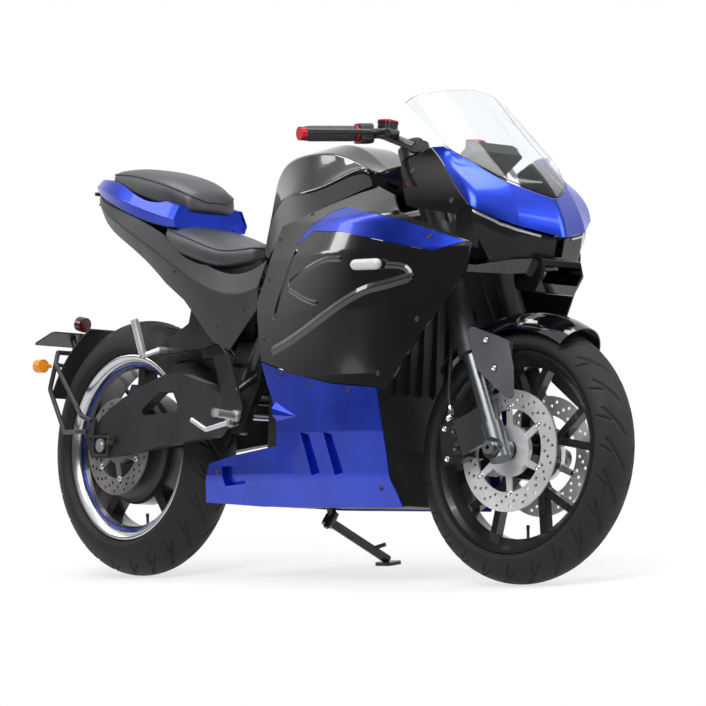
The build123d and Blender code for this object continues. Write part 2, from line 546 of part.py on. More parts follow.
# Seats: rider's saddle and the raised passenger pad
RIDER = [
    (168, [(98, 806), (108, 838), (60, 864)]),
    (280, [(116, 768), (126, 804), (70, 836)]),
    (410, [(104, 738), (116, 770), (64, 798)]),
    (508, [(60, 752), (72, 782), (40, 804)]),
]
PILLION = [
    (-100, [(56, 966), (66, 988), (40, 1004)]),
    (30, [(84, 930), (96, 964), (56, 1002)]),
    (160, [(84, 896), (96, 932), (56, 974)]),
    (246, [(56, 884), (68, 908), (40, 936)]),
]


def cushion(rows, blend):
    """Solid cushion lofted through half outlines given as (half width, height)."""
    closed = [(x, [(-y, z) for y, z in half] + [(y, z) for y, z in reversed(half)]) for x, half in rows]
    return hull(closed, blend, lambda x, y, z: (x, y, z))


def grown(rows, by):
    """Cushion rows made larger all round."""
    larger = []
    for x, ((low, bottom), (side, level), (high, top)) in rows:
        move = -by if x == rows[0][0] else by if x == rows[-1][0] else 0
        larger.append((x + move, [(low + by, bottom - by), (side + by, level), (high + by, top + by)]))
    return larger


rider_seat = cushion(RIDER, 12)
rider_room = cushion(grown(RIDER, 2), 12)
pillion_seat = cushion(PILLION, 9)

# Tail: blue cowl round the pad, grey side panels, black tray below and the lamp
TAIL = [
    (-192, [(30, 962), (34, 972), (16, 988)]),
    (-100, [(78, 934), (84, 956), (70, 982)]),
    (50, [(106, 884), (112, 912), (94, 950)]),
    (228, [(108, 846), (116, 866), (98, 902)]),
]
cowl_solid = cushion(TAIL, 5)
cowl_core = cushion([(x + (6 if x < 0 else 14), [(y - 5, z - (5 if i == 2 else -5)) for i, (y, z) in enumerate(half)])
                     for x, half in TAIL], 3)
seat_room = cushion([(x + (-2 if x < 0 else 2), [(y + 2, z - 2), (y + 2, z + 70)])
                     for x, ((_, z), (y, _), _) in PILLION], 2)
tail_cowl = cowl_solid - cowl_core - seat_room - rider_room
TAIL_SIDE = [
    (-180, [(28, 952), (36, 942), (26, 928)]),
    (0, [(100, 897), (112, 866), (86, 822)]),
    (200, [(114, 826), (128, 776), (104, 706)]),
    (400, [(118, 738), (134, 690), (118, 560)]),
    (600, [(122, 752), (146, 690), (146, 600)]),
]
tail_form = shell(TAIL_SIDE, PANEL, 12, on_right)
tail_panel = tail_form & prism([(-190, 970), (60, 990), (660, 800), (606, 640), (478, 541), (398, 566), (278, 668),
                                (100, 760), (-190, 920)], -300, -10)
tail_panels = both(tail_panel - rider_room)
tray = [(-196, 928), (-186, 934), (0, 826), (190, 706), (250, 690), (250, 684), (186, 698), (0, 818)]
undertail = prism(tray, -24, 24)
tail_lamp = rod((-214, -20, 956), (-214, 20, 956), 5)

# Number-plate carrier on the swingarm, its round rear lamp and the four indicators
STAY_R = 6
LUG_Y = -ARM_IN - ARM_T - 7
carrier_side = pipe([(-60, LUG_Y, 350), (-98, LUG_Y - 1, 351), (-203, -100, 352), (-292, -84, 462), (-272, -84, 525)], STAY_R, 14)
carrier_side += pipe([(-44, LUG_Y, 378), (-86, LUG_Y - 1, 390), (-148, -104, 413), (-272, -84, 525), (-296, -60, 556)], STAY_R, 14)
carrier_side += round_prism([(-72, 336), (-34, 336), (-28, 384), (-58, 384)], LUG_Y - 1, -ARM_IN - ARM_T - 0.3, 6)
carrier_side += rod((-272, -84, 525), (-264, -58, 520), 5)
plate_carrier = carrier_side + mirror(carrier_side, about=Plane.XZ)
hugger = wheel_rear * (Rot(0, -118, 0) * revolve(make_face(Polyline(
    (REAR_TYRE_R + 16, -66), (REAR_TYRE_R + 20, -66), (REAR_TYRE_R + 20, 66), (REAR_TYRE_R + 16, 66), close=True)),
    axis=Axis.Y, revolution_arc=-40))
plate_carrier += hugger
board = Plane(origin=(-332, 0, 590), x_dir=(0, 1, 0), z_dir=(-0.35, 0, 0.94))
PLATE_HOLE_R = 3.2
PLATE_HOLES = 130
holder = RectangleRounded(160, 84, 8) - Pos(-PLATE_HOLES / 2, 12) * Circle(PLATE_HOLE_R)
holder -= Pos(PLATE_HOLES / 2, 12) * Circle(PLATE_HOLE_R)
plate_carrier += extrude(board * holder, amount=4)
plate_carrier += rod((-296, -60, 556), (-296, 60, 556), STAY_R)
plate_carrier += rod((-296, 0, 556), (-316, 0, 595), 8)
rear_lamp = rod((-266, 0, 628), (-288, 0, 632), 19)
plate_carrier += rod((-296, 0, 556), (-280, 0, 607), 5)
rear_lamps = Compound([rear_lamp, tail_lamp])
blinker = rod((-284, -90, 520), (-286, -112, 518), 5) + rod((-300, -118, 518), (-276, -118, 518), 17)
front_blinker = rod((1078, -247, 716), (1142, -243, 716), 9)
indicators = Compound([*both(blinker).solids(), *both(front_blinker).solids()])

# Foot controls: rider's pegs, passenger pegs folded up, brake pedal
peg_root = (540, -REST_Y - 5.5, 382)
peg = rod((540, -REST_Y - 10, 382), (546, -REST_Y - 74, 386), 10) + rod(peg_root, (540, -REST_Y - 14, 382), 14)
pillion_peg = rod((172, -150, 532), (152, -166, 620), 10) + rod((196, -120, 548), (172, -152, 532), 7)
pillion_peg += rod((196, -100.5, 548), (196, -124, 548), 8)
pedal = pipe([(520, -REST_Y - 16, 366), (440, -REST_Y - 18, 350), (384, -REST_Y - 18, 374)], 6, 12)
pedal += rod((520, -REST_Y - 5.5, 366), (520, -REST_Y - 20, 366), 9)
foot_controls = Compound([*both(peg).solids(), *both(pillion_peg).solids(), pedal.solid()])

# Side stand: leg, foot pad and pivot eye; the foot meets the floor of the leaning bike
floor_up = Vector(0, -sin(radians(LEAN)), cos(radians(LEAN)))
foot_z = STAND_FOOT_Y * tan(radians(LEAN)) - (REAR_TYRE_W / 2) * (1 / cos(radians(LEAN)) - 1)
stand_foot = Vector(STAND_FOOT_X, STAND_FOOT_Y, foot_z)
PAD_T = 8
leg_end = stand_foot + floor_up * (PAD_T + 4)
stand_axis = (stand_foot - STAND_PIVOT).cross(STAND_FOLDED).normalized()
stand_swing = (stand_foot - STAND_PIVOT).get_angle(STAND_FOLDED)
STAND_PIN_R = 7
side_stand = rod(STAND_PIVOT + (leg_end - STAND_PIVOT).normalized() * 8, leg_end, 11)
side_stand += rod(STAND_PIVOT - stand_axis * 12, STAND_PIVOT + stand_axis * 12, 15)
tang_root = STAND_PIVOT + (leg_end - STAND_PIVOT) * 0.72
side_stand += rod(tang_root, tang_root + Vector(34, 14, 12), 5)
side_stand -= rod(STAND_PIVOT - stand_axis * 30, STAND_PIVOT + stand_axis * 30, STAND_PIN_R + RUN_FIT)
frame += rod(STAND_PIVOT - stand_axis * 18, STAND_PIVOT + stand_axis * 20, STAND_PIN_R)
frame += rod(STAND_PIVOT + stand_axis * 13, STAND_PIVOT + stand_axis * 25, 14)
frame += rod((604, 84, 194), STAND_PIVOT + stand_axis * 20, 10)
pad_plane = Plane(origin=stand_foot, x_dir=(1, 0, 0), z_dir=floor_up)
side_stand += extrude(pad_plane * RectangleRounded(62, 44, 14), amount=PAD_T)

# Steering turned to its rest angle, then the whole bike leaned on to the stand
steer_axis = Axis(STEER_FOOT, UP_FORK)


def steered(shape):
    """Turn a piece of the steering to the left by its rest angle."""
    return shape.rotate(steer_axis, STEER_REST)


def lowest(axle, axle_dir, radius, width):
    """Height of a tyre's lowest point from its axle point and direction."""
    crown_r = width / 2
    return axle.Z - crown_r - (radius - crown_r) * sqrt(1 - axle_dir.Z ** 2)


lean_turn = Rot(-LEAN, 0, 0)

front_centre = (lean_turn * Pos(*Vertex(*FRONT_AXLE).rotate(steer_axis, STEER_REST).center())).position
side_dir = Vertex(*(FRONT_AXLE + Vector(0, 1, 0))).rotate(steer_axis, STEER_REST).center()
side_dir = (lean_turn * Pos(*side_dir)).position - front_centre
rear_centre = (lean_turn * Pos(*REAR_AXLE)).position
rear_dir = (lean_turn * Pos(0, 1, 0)).position
rear_low = lowest(rear_centre, rear_dir, REAR_TYRE_R, REAR_TYRE_W)
front_low = lowest(front_centre, side_dir, FRONT_TYRE_R, FRONT_TYRE_W)
pitch = degrees(asin((front_low - rear_low) / WHEELBASE))
leaned = Pos(0, 0, -rear_low) * Rot(0, pitch, 0) * lean_turn

STILL = {
    "main_frame": frame, "battery_case": battery_case, "swingarm": swingarm, "rear_axle": rear_axle,
    "pivot_bolt": pivot_bolt, "rear_shock": rear_shock, "rear_caliper": rear_caliper,
    "plate_carrier": plate_carrier, "rear_lamps": rear_lamps, "indicators": indicators,
    "tank_cover": tank_cover, "rider_seat": rider_seat, "pillion_seat": pillion_seat, "tail_cowl": tail_cowl,
    "tail_panels": tail_panels, "undertail": undertail, "side_panels": side_panels,
    "accent_strips": accent_strips, "belly_pans": belly_pans, "inner_panel": inner_panel,
    "nose_cowl": nose_cowl, "nose_panels": nose_panels, "headlamps": headlamps, "windscreen": windscreen,
    "dashboard": dashboard, "foot_controls": foot_controls, "side_stand": side_stand,
    "rear_tyre": wheel_rear * rear_tyre, "rear_rim": wheel_rear * rear_rim,
    "hub_motor": wheel_rear * hub_motor, "rear_disc": wheel_rear * rear_disc,
}
STEERED = {
    "fork_tubes": fork_tubes, "fork_lowers": fork_lowers, "triple_clamps": triple_clamps,
    "front_axle": front_axle, "front_fender": front_fender, "fender_stays": fender_stays,
    "front_calipers": front_calipers, "handlebars": handlebars, "grips": grips, "bar_ends": bar_ends,
    "brake_hoses": brake_hoses, "front_tyre": wheel_front * front_tyre, "front_rim": wheel_front * front_rim,
    "front_discs": wheel_front * Compound([solid for one in front_discs for solid in one.solids()]),
}

# Origin under the middle of the parked bike: the pieces that reach furthest set the middle
reach = [leaned * plate_carrier, leaned * steered(wheel_front * front_tyre), leaned * steered(bar_ends)]
boxes = [piece.bounding_box() for piece in reach]
middle_x = (min(box.min.X for box in boxes) + max(box.max.X for box in boxes)) / 2
middle_y = (min(box.min.Y for box in boxes) + max(box.max.Y for box in boxes)) / 2
parked = Pos(-middle_x, -middle_y, 0) * leaned

os.makedirs("parts", exist_ok=True)
for name, shape in STILL.items():
    export_step(parked * Compound(shape.solids()), f"parts/{name}.step")
for name, shape in STEERED.items():
    export_step(parked * steered(Compound(shape.solids())), f"parts/{name}.step")
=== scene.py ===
# %% [markdown]
# # An electric sport bike, dressed for its portrait
# The solids of the bike come in first, as a fixed frame in metres. Everything that follows only adds
# finishes and small pieces to that frame, so the sizes are settled before any looks begin.

# %% Load the frame
import json
from math import cos, hypot, pi, radians, sin

import bmesh
import bpy
from mathutils import Matrix, Vector


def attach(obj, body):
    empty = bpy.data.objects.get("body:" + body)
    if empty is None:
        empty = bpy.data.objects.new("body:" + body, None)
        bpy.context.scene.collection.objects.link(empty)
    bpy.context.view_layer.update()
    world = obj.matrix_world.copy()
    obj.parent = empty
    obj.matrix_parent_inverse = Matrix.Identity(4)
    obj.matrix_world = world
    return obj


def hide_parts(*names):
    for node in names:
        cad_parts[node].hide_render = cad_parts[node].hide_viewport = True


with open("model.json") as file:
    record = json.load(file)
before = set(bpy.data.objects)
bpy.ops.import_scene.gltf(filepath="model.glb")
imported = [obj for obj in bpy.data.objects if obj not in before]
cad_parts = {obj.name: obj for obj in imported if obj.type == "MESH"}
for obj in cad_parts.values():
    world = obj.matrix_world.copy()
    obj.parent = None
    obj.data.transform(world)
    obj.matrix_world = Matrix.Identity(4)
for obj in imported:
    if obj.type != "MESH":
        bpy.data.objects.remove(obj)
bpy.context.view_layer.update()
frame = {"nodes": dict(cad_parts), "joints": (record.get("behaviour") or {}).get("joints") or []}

nodes = frame["nodes"]

# %% [markdown]
# ## Where things are
# The bike leans on its side stand, but it is much easier to think of it upright, in millimetres from the
# rear tyre's contact point: x forward, y to the rider's left, z up. The joints in the record know where the
# rear axle and the steering head are, so two matrices can carry upright points to the leaning bike.
# The fork, the bars and the front wheel are also turned a little to the left.

# %% Matrices from the upright bike to the parked one
MM = 0.001
RAKE = radians(25)
WHEELBASE, FRONT_R, REAR_R = 1400, 296, 316
FORK_OFFSET, STEER_REST = 30, radians(7.7)
joints = {joint["name"]: joint for joint in frame["joints"]}
side_way = Vector(joints["rear_wheel_spin"]["axis"])
head_way = Vector(joints["steering"]["axis"])
ahead_way = side_way.cross(head_way).normalized()
x_way = ahead_way * cos(RAKE) - head_way * sin(RAKE)
z_way = ahead_way * sin(RAKE) + head_way * cos(RAKE)
turn = Matrix((x_way, side_way, z_way)).transposed().to_4x4()
axle = Vector(joints["rear_wheel_spin"]["pos_m"])
PARKED = Matrix.Translation(axle) @ turn @ Matrix.Translation((0, 0, -REAR_R * MM)) @ Matrix.Scale(MM, 4)
UP_FORK = Vector((-sin(RAKE), 0, cos(RAKE)))
AHEAD_FORK = Vector((cos(RAKE), 0, sin(RAKE)))
FRONT_AXLE = Vector((WHEELBASE, 0, FRONT_R))
STEER_FOOT = FRONT_AXLE - AHEAD_FORK * FORK_OFFSET
STEERED = (PARKED @ Matrix.Translation(STEER_FOOT) @ Matrix.Rotation(STEER_REST, 4, UP_FORK)
           @ Matrix.Translation(-STEER_FOOT))
print("rear axle at", tuple(round(c, 3) for c in axle))

# %% [markdown]
# ## Camera
# The photograph was taken with a long lens from low on the bike's right, ahead of it. The view is written in
# the upright bike's terms and carried over by the same matrix, so the leaning bike fills the frame as there.

# %% Camera
VIEW_AROUND, VIEW_UP, VIEW_ROLL = 0.695776, -0.051784, 0.033021
VIEW_AWAY, LENS_PIXELS, FRAME_PIXELS = 11348, 4790, 706
CENTRE_PIXEL = (326.8, 368.9)
VIEW_TARGET = Vector((690, 0, 500))
SENSOR_WIDE, SIGHT_FAR = 36, 60
back = Vector((cos(VIEW_UP) * cos(VIEW_AROUND), -cos(VIEW_UP) * sin(VIEW_AROUND), sin(VIEW_UP)))
level = Vector((0, 0, 1)).cross(back).normalized()
plumb = back.cross(level)
right = level * cos(VIEW_ROLL) + plumb * sin(VIEW_ROLL)
above = plumb * cos(VIEW_ROLL) - level * sin(VIEW_ROLL)
eye = PARKED @ (VIEW_TARGET + back * VIEW_AWAY)
facing = (turn.to_3x3() @ Matrix((right, above, back)).transposed()).to_4x4()
camera_data = bpy.data.cameras.new("portrait_camera")
camera_data.sensor_width = SENSOR_WIDE
camera_data.lens = LENS_PIXELS / FRAME_PIXELS * camera_data.sensor_width
camera_data.shift_x = 0.5 - CENTRE_PIXEL[0] / FRAME_PIXELS
camera_data.shift_y = CENTRE_PIXEL[1] / FRAME_PIXELS - 0.5
camera_data.clip_end = SIGHT_FAR
camera = bpy.data.objects.new("portrait_camera", camera_data)
camera.matrix_world = Matrix.Translation(eye) @ facing
scene = bpy.context.scene
scene.collection.objects.link(camera)
scene.camera = camera
print("camera", round(VIEW_AWAY / 1000, 2), "m away, lens", round(camera_data.lens, 1), "mm")

# %% [markdown]
# ## Studio
# A pale floor, a white sweep behind the bike, a white ceiling and dim walls at the sides: black gloss needs
# something dark to mirror, or it turns grey. The eye, mirrors and glass all see the white sweep, while the
# light that falls on the bike comes from large soft lamps, which draw long highlights along the panels.

# %% Floor, lamps and room
scene.view_settings.view_transform = "Standard"


def node_tree(owner):
    """Empty node tree of a material or world, with its output."""
    owner.use_nodes = True
    tree = owner.node_tree
    tree.nodes.clear()
    kind = "ShaderNodeOutputWorld" if isinstance(owner, bpy.types.World) else "ShaderNodeOutputMaterial"
    return tree, tree.nodes.new(kind)


def node(tree, kind, inputs=(), **settings):
    """Add a node, set its properties, then its inputs: a value, or the socket it is fed from."""
    made = tree.nodes.new("ShaderNode" + kind)
    for key, value in settings.items():
        setattr(made, key, value)
    for key, value in dict(inputs).items():
        if isinstance(value, bpy.types.NodeSocket):
            tree.links.new(value, made.inputs[key])
        else:
            made.inputs[key].default_value = value
    return made


def shows_white(tree):
    """1 for rays from the eye, from a mirror or through glass, and 0 for the light that falls on things."""
    rays = node(tree, "LightPath").outputs
    opaque = node(tree, "Math", {0: rays["Is Camera Ray"], 1: rays["Is Glossy Ray"]}, operation="MAXIMUM")
    glass_too = node(tree, "Math", {0: opaque.outputs[0], 1: rays["Is Transmission Ray"]},
                     operation="MAXIMUM")
    return glass_too.outputs[0]


FLOOR_HALF, FLOOR_DROP = 20, 0.0015
SHADOW_NEAR, SHADOW_FAR = 0.9, 1.7
floor_mesh = bpy.data.meshes.new("floor")
floor_corners = [(x * FLOOR_HALF, y * FLOOR_HALF, 0) for x, y in ((-1, -1), (1, -1), (1, 1), (-1, 1))]
floor_mesh.from_pydata(floor_corners, [], [(0, 1, 2, 3)])
floor = bpy.data.objects.new("floor", floor_mesh)
floor.location.z = -FLOOR_DROP
scene.collection.objects.link(floor)
floor_paint = bpy.data.materials.new("pale_floor")
tree, output = node_tree(floor_paint)
grain = node(tree, "TexNoise", {"Scale": 3.0})
tone = node(tree, "ValToRGB", {"Fac": grain.outputs["Fac"]})
tone.color_ramp.elements[0].color = (0.86, 0.86, 0.87, 1)
tone.color_ramp.elements[1].color = (0.9, 0.9, 0.9, 1)
matt = node(tree, "BsdfDiffuse", {"Color": tone.outputs["Color"]})
glow = node(tree, "Emission", {"Color": (1, 1, 1, 1), "Strength": 1.0})
reach = node(tree, "VectorMath", {0: node(tree, "TexCoord").outputs["Object"]}, operation="LENGTH")
fade = node(tree, "MapRange", {"Value": reach.outputs["Value"], "From Min": SHADOW_NEAR,
                               "From Max": SHADOW_FAR, "To Min": 0.7, "To Max": 1.0})
seen = node(tree, "MixShader", {0: fade.outputs[0], 1: matt.outputs[0], 2: glow.outputs[0]})
both = node(tree, "MixShader", {0: shows_white(tree), 1: matt.outputs[0], 2: seen.outputs[0]})
tree.links.new(both.outputs[0], output.inputs["Surface"])
floor_mesh.materials.append(floor_paint)

world = bpy.data.worlds.new("studio_room")
scene.world = world
tree, output = node_tree(world)
ray = node(tree, "TexCoord")
away = turn.to_3x3() @ -back
behind = node(tree, "VectorMath", {0: ray.outputs["Generated"], 1: away}, operation="DOT_PRODUCT")
sweep = node(tree, "MapRange", {"Value": behind.outputs["Value"], "From Min": -0.3, "From Max": 0.5,
                                "To Min": 0.10, "To Max": 0.60})
wall = node(tree, "MapRange", {"Value": behind.outputs["Value"], "From Min": 0.25, "From Max": 0.8,
                               "To Min": 0.12, "To Max": 1.0})
height = node(tree, "SeparateXYZ", {"Vector": ray.outputs["Generated"]})
ceiling = node(tree, "MapRange", {"Value": height.outputs["Z"], "From Min": 0.35, "From Max": 0.75,
                                  "To Min": 0.0, "To Max": 1.0})
mirrored = node(tree, "Math", {0: wall.outputs[0], 1: ceiling.outputs[0]}, operation="MAXIMUM")
path = node(tree, "LightPath")
backdrop = node(tree, "Mix", {"Factor": path.outputs["Is Camera Ray"], "A": mirrored.outputs[0], "B": 1.0},
                data_type="FLOAT")
bright = node(tree, "Mix", {"Factor": shows_white(tree), "A": sweep.outputs[0], "B": backdrop.outputs[0]},
              data_type="FLOAT")
room = node(tree, "Background", {"Color": (1, 1, 1, 1), "Strength": bright.outputs[0]})
tree.links.new(room.outputs[0], output.inputs["Surface"])

# columns: name, upright place (mm), size (m), power (W)
LAMPS = [
    ("key_softbox", (1900, -2600, 2700), (2.6, 1.6), 120),
    ("top_softbox", (600, -300, 3300), (3.2, 1.2), 85),
    ("tail_softbox", (-1900, -1500, 2300), (0.5, 2.2), 18),
    ("nose_softbox", (3200, 900, 1700), (1.2, 1.8), 40),
]
LAMP_AIM = PARKED @ Vector((690, 0, 480))
for name, place, size, power in LAMPS:
    lamp_data = bpy.data.lights.new(name, "AREA")
    lamp_data.shape = "RECTANGLE"
    lamp_data.size, lamp_data.size_y = size
    lamp_data.energy = power
    lamp = bpy.data.objects.new(name, lamp_data)
    lamp.location = PARKED @ Vector(place)
    lamp.rotation_euler = (LAMP_AIM - lamp.location).to_track_quat("-Z", "Y").to_euler()
    scene.collection.objects.link(lamp)
print("studio: floor, room and", len(LAMPS), "lamps")

# %% [markdown]
# ## Finishes
# Every finish is a small recipe of nodes. Noise at two scales does most of the work: a fine one for grain,
# flake or brushing, and a broad one for the slow changes in gloss that handling and cleaning leave behind.
# Constants go straight on to the shader, so that they survive export.

# %% Recipe for a finish
finishes = {}
BROAD_SCALE = 9.0
COLOUR_FROM, COLOUR_TO = 0.35, 0.65
GLOSS_FROM, GLOSS_TO = 0.3, 0.7


def finish(name, colours, rough, grain=900, bump=0.0, deep=0.0003, stretch=(1, 1, 1), **shader):
    """Material whose colour and roughness wander between two values, with a fine bump."""
    material = bpy.data.materials.new(name)
    tree, output = node_tree(material)
    place = node(tree, "TexCoord").outputs["Object"]
    place = node(tree, "Mapping", {"Vector": place, "Scale": stretch}).outputs["Vector"]
    fine = node(tree, "TexNoise", {"Vector": place, "Scale": grain, "Detail": 4.0})
    broad = node(tree, "TexNoise", {"Vector": place, "Scale": BROAD_SCALE, "Detail": 3.0})
    blend = node(tree, "Mix", {"Factor": 0.5, "A": fine.outputs["Fac"], "B": broad.outputs["Fac"]},
                 data_type="FLOAT")
    ramp = node(tree, "ValToRGB", {"Fac": blend.outputs[0]})
    for stop, spot, colour in zip(ramp.color_ramp.elements, (COLOUR_FROM, COLOUR_TO), colours):
        stop.position, stop.color = spot, (*colour, 1)
    gloss = node(tree, "MapRange", {"Value": broad.outputs["Fac"], "From Min": GLOSS_FROM,
                                    "From Max": GLOSS_TO, "To Min": rough[0], "To Max": rough[1]})
    surface = node(tree, "BsdfPrincipled", {"Base Color": ramp.outputs["Color"],
                                            "Roughness": gloss.outputs[0]})
    for key, value in shader.items():
        surface.inputs[key.replace("_", " ").title().replace("Ior", "IOR")].default_value = value
    if bump:
        relief = node(tree, "Bump", {"Height": fine.outputs["Fac"], "Strength": bump, "Distance": deep})
        tree.links.new(relief.outputs[0], surface.inputs["Normal"])
    tree.links.new(surface.outputs[0], output.inputs["Surface"])
    finishes[name] = material


# %% [markdown]
# Paint comes first: the blue is a metallic base under clear lacquer, the black a plain gloss coat.
# Then the mouldings, castings, steel and rubber, each with its own grain.

# %% Paints, mouldings, metals and rubbers
finish("blue_paint", [(0.009, 0.030, 0.36), (0.016, 0.050, 0.54)], (0.24, 0.34), grain=2600, metallic=0.85,
       specular_ior_level=0.3, coat_weight=0.3, coat_roughness=0.04)
finish("black_paint", [(0.002, 0.002, 0.003), (0.004, 0.004, 0.005)], (0.07, 0.12), grain=1500,
       specular_ior_level=0.5, coat_weight=0.5, coat_roughness=0.03)
finish("black_moulding", [(0.010, 0.010, 0.011), (0.018, 0.018, 0.019)], (0.45, 0.6), grain=1600, bump=0.25)
finish("grey_panel", [(0.013, 0.014, 0.016), (0.022, 0.023, 0.025)], (0.34, 0.46), grain=2200,
       bump=0.15, specular_ior_level=0.35)
finish("frame_paint", [(0.008, 0.008, 0.009), (0.014, 0.014, 0.015)], (0.25, 0.4), grain=1200, bump=0.08)
finish("cast_grey", [(0.016, 0.017, 0.018), (0.026, 0.027, 0.028)], (0.36, 0.5), grain=700, bump=0.25,
       metallic=0.2, specular_ior_level=0.35)
finish("fork_grey", [(0.10, 0.105, 0.11), (0.14, 0.145, 0.15)], (0.22, 0.34), grain=900,
       stretch=(1, 1, 0.06), metallic=0.9)
finish("bare_steel", [(0.50, 0.50, 0.51), (0.64, 0.64, 0.65)], (0.2, 0.36), grain=800,
       stretch=(0.15, 0.15, 1), metallic=1.0)
finish("disc_steel", [(0.55, 0.55, 0.57), (0.76, 0.76, 0.77)], (0.36, 0.48), grain=500, metallic=0.6)
finish("worn_steel", [(0.16, 0.15, 0.145), (0.34, 0.325, 0.315)], (0.34, 0.46), grain=420, metallic=0.7)
finish("bright_cast", [(0.46, 0.46, 0.47), (0.60, 0.60, 0.61)], (0.3, 0.42), grain=900, bump=0.1,
       metallic=0.75)
finish("stay_grey", [(0.055, 0.057, 0.062), (0.080, 0.083, 0.089)], (0.34, 0.46), grain=1400, bump=0.15)
finish("black_wheel", [(0.007, 0.007, 0.008), (0.013, 0.013, 0.014)], (0.2, 0.32), grain=1500,
       coat_weight=0.3)
finish("motor_black", [(0.012, 0.012, 0.013), (0.020, 0.020, 0.022)], (0.4, 0.52), grain=900, bump=0.2)
finish("tyre_rubber", [(0.007, 0.007, 0.008), (0.013, 0.013, 0.013)], (0.55, 0.75), grain=700, bump=0.3,
       specular_ior_level=0.3)
finish("grip_rubber", [(0.008, 0.008, 0.009), (0.014, 0.014, 0.015)], (0.5, 0.65), grain=900, bump=0.4)
finish("red_anodised", [(0.42, 0.008, 0.016), (0.56, 0.014, 0.026)], (0.2, 0.3), grain=1200, metallic=0.7)
finish("seat_vinyl", [(0.026, 0.027, 0.031), (0.040, 0.042, 0.047)], (0.38, 0.5), grain=750, bump=0.45,
       deep=0.0006, specular_ior_level=0.55)
finish("chrome", [(0.62, 0.63, 0.65), (0.74, 0.75, 0.77)], (0.06, 0.12), grain=600, metallic=1.0)
finish("rim_silver", [(0.52, 0.53, 0.55), (0.64, 0.65, 0.67)], (0.16, 0.28), grain=900, metallic=1.0)
finish("red_lens", [(0.055, 0.004, 0.005), (0.085, 0.006, 0.007)], (0.1, 0.18), grain=350, bump=0.3,
       transmission_weight=0.2)
finish("clear_lens", [(0.62, 0.64, 0.66), (0.74, 0.76, 0.78)], (0.08, 0.14), grain=300, bump=0.35,
       transmission_weight=0.35)
finish("amber_lens", [(0.85, 0.30, 0.02), (0.95, 0.38, 0.03)], (0.12, 0.2), grain=350, bump=0.3,
       transmission_weight=0.3)
finish("smoked_lens", [(0.018, 0.018, 0.020), (0.028, 0.028, 0.030)], (0.03, 0.06), grain=300,
       transmission_weight=0.55, ior=1.3, specular_ior_level=0.3)
finish("clear_screen", [(0.90, 0.94, 0.96), (0.94, 0.97, 0.98)], (0.02, 0.05), grain=200,
       transmission_weight=1.0, ior=1.25)
print(len(finishes), "finishes")

# %% Which node wears which finish
WORN = {
    "blue_paint": "tail_cowl accent_strips belly_pans nose_cowl",
    "black_paint": "tank_cover side_panels nose_panels front_fender",
    "black_moulding": "battery_case undertail inner_panel plate_carrier dashboard",
    "grey_panel": "tail_panels",
    "stay_grey": "fender_stays",
    "frame_paint": "main_frame handlebars triple_clamps side_stand front_calipers rear_caliper rear_shock",
    "cast_grey": "swingarm fork_tubes",
    "fork_grey": "fork_lowers",
    "bare_steel": "rear_axle front_axle pivot_bolt",
    "disc_steel": "front_discs",
    "worn_steel": "rear_disc",
    "bright_cast": "foot_controls",
    "black_wheel": "front_rim rear_rim",
    "motor_black": "hub_motor",
    "tyre_rubber": "front_tyre rear_tyre",
    "grip_rubber": "grips brake_hoses",
    "red_anodised": "bar_ends",
    "seat_vinyl": "rider_seat pillion_seat",
    "red_lens": "rear_lamps",
    "amber_lens": "indicators",
    "smoked_lens": "headlamps",
    "clear_screen": "windscreen",
}
for name, worn_by in WORN.items():
    for part in worn_by.split():
        nodes[part].data.materials.clear()
        nodes[part].data.materials.append(finishes[name])
print("dressed", sum(len(worn.split()) for worn in WORN.values()), "of", len(nodes), "nodes")

# %% [markdown]
# ## Making pieces
# A piece is a list of corner points in the upright bike's millimetres and a list of faces. One helper carries
# the points to the parked bike, gives the piece its finish and lets it ride on the body that carries it.
# Grids of points make every round or padded form here: rings of points, joined to their neighbours.

# %% Helpers for meshes
def add_piece(name, points, faces, place, body, wears, smooth=True):
    """Mesh object from upright points, dressed and riding on its body."""
    mesh = bpy.data.meshes.new(name)
    mesh.from_pydata([place @ Vector(point) for point in points], [], faces)
    shape = bmesh.new()
    shape.from_mesh(mesh)
    bmesh.ops.recalc_face_normals(shape, faces=shape.faces)
    shape.to_mesh(mesh)
    shape.free()
    mesh.polygons.foreach_set("use_smooth", [smooth] * len(mesh.polygons))
    mesh.materials.append(finishes[wears])
    piece = bpy.data.objects.new(name, mesh)
    scene.collection.objects.link(piece)
    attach(piece, body)
    return piece


def grid_faces(rows, columns, first=0, close_rows=False):
    """Quads of a grid of points stored row by row; each row closes on itself."""
    faces = []
    for row in range(rows if close_rows else rows - 1):
        for column in range(columns):
            right, below = (column + 1) % columns, (row + 1) % rows
            faces.append([first + n for n in (row * columns + column, row * columns + right,
                                              below * columns + right, below * columns + column)])
    return faces


def across(direction):
    """Two directions square to the one given, and to each other."""
    direction = Vector(direction).normalized()
    side = direction.cross(Vector((0, 0, 1)) if abs(direction.z) < 0.9 else Vector((1, 0, 0))).normalized()
    return side, direction.cross(side)


def turned_points(centre, direction, profile, steps):
    """Rings of points round an axis; the profile is (distance along, radius) pairs."""
    direction = Vector(direction).normalized()
    side, up = across(direction)
    points = []
    for along, radius in profile:
        for step in range(steps):
            angle = 2 * pi * step / steps
            points.append(Vector(centre) + direction * along + (side * cos(angle) + up * sin(angle)) * radius)
    return points


def turned_piece(name, turnings, place, body, wears, steps=32):
    """One mesh of turned forms; each turning: centre, direction, profile."""
    points, faces = [], []
    for centre, direction, profile in turnings:
        faces += grid_faces(len(profile), steps, len(points))
        points += turned_points(centre, direction, profile, steps)
    add_piece(name, points, faces, place, body, wears)


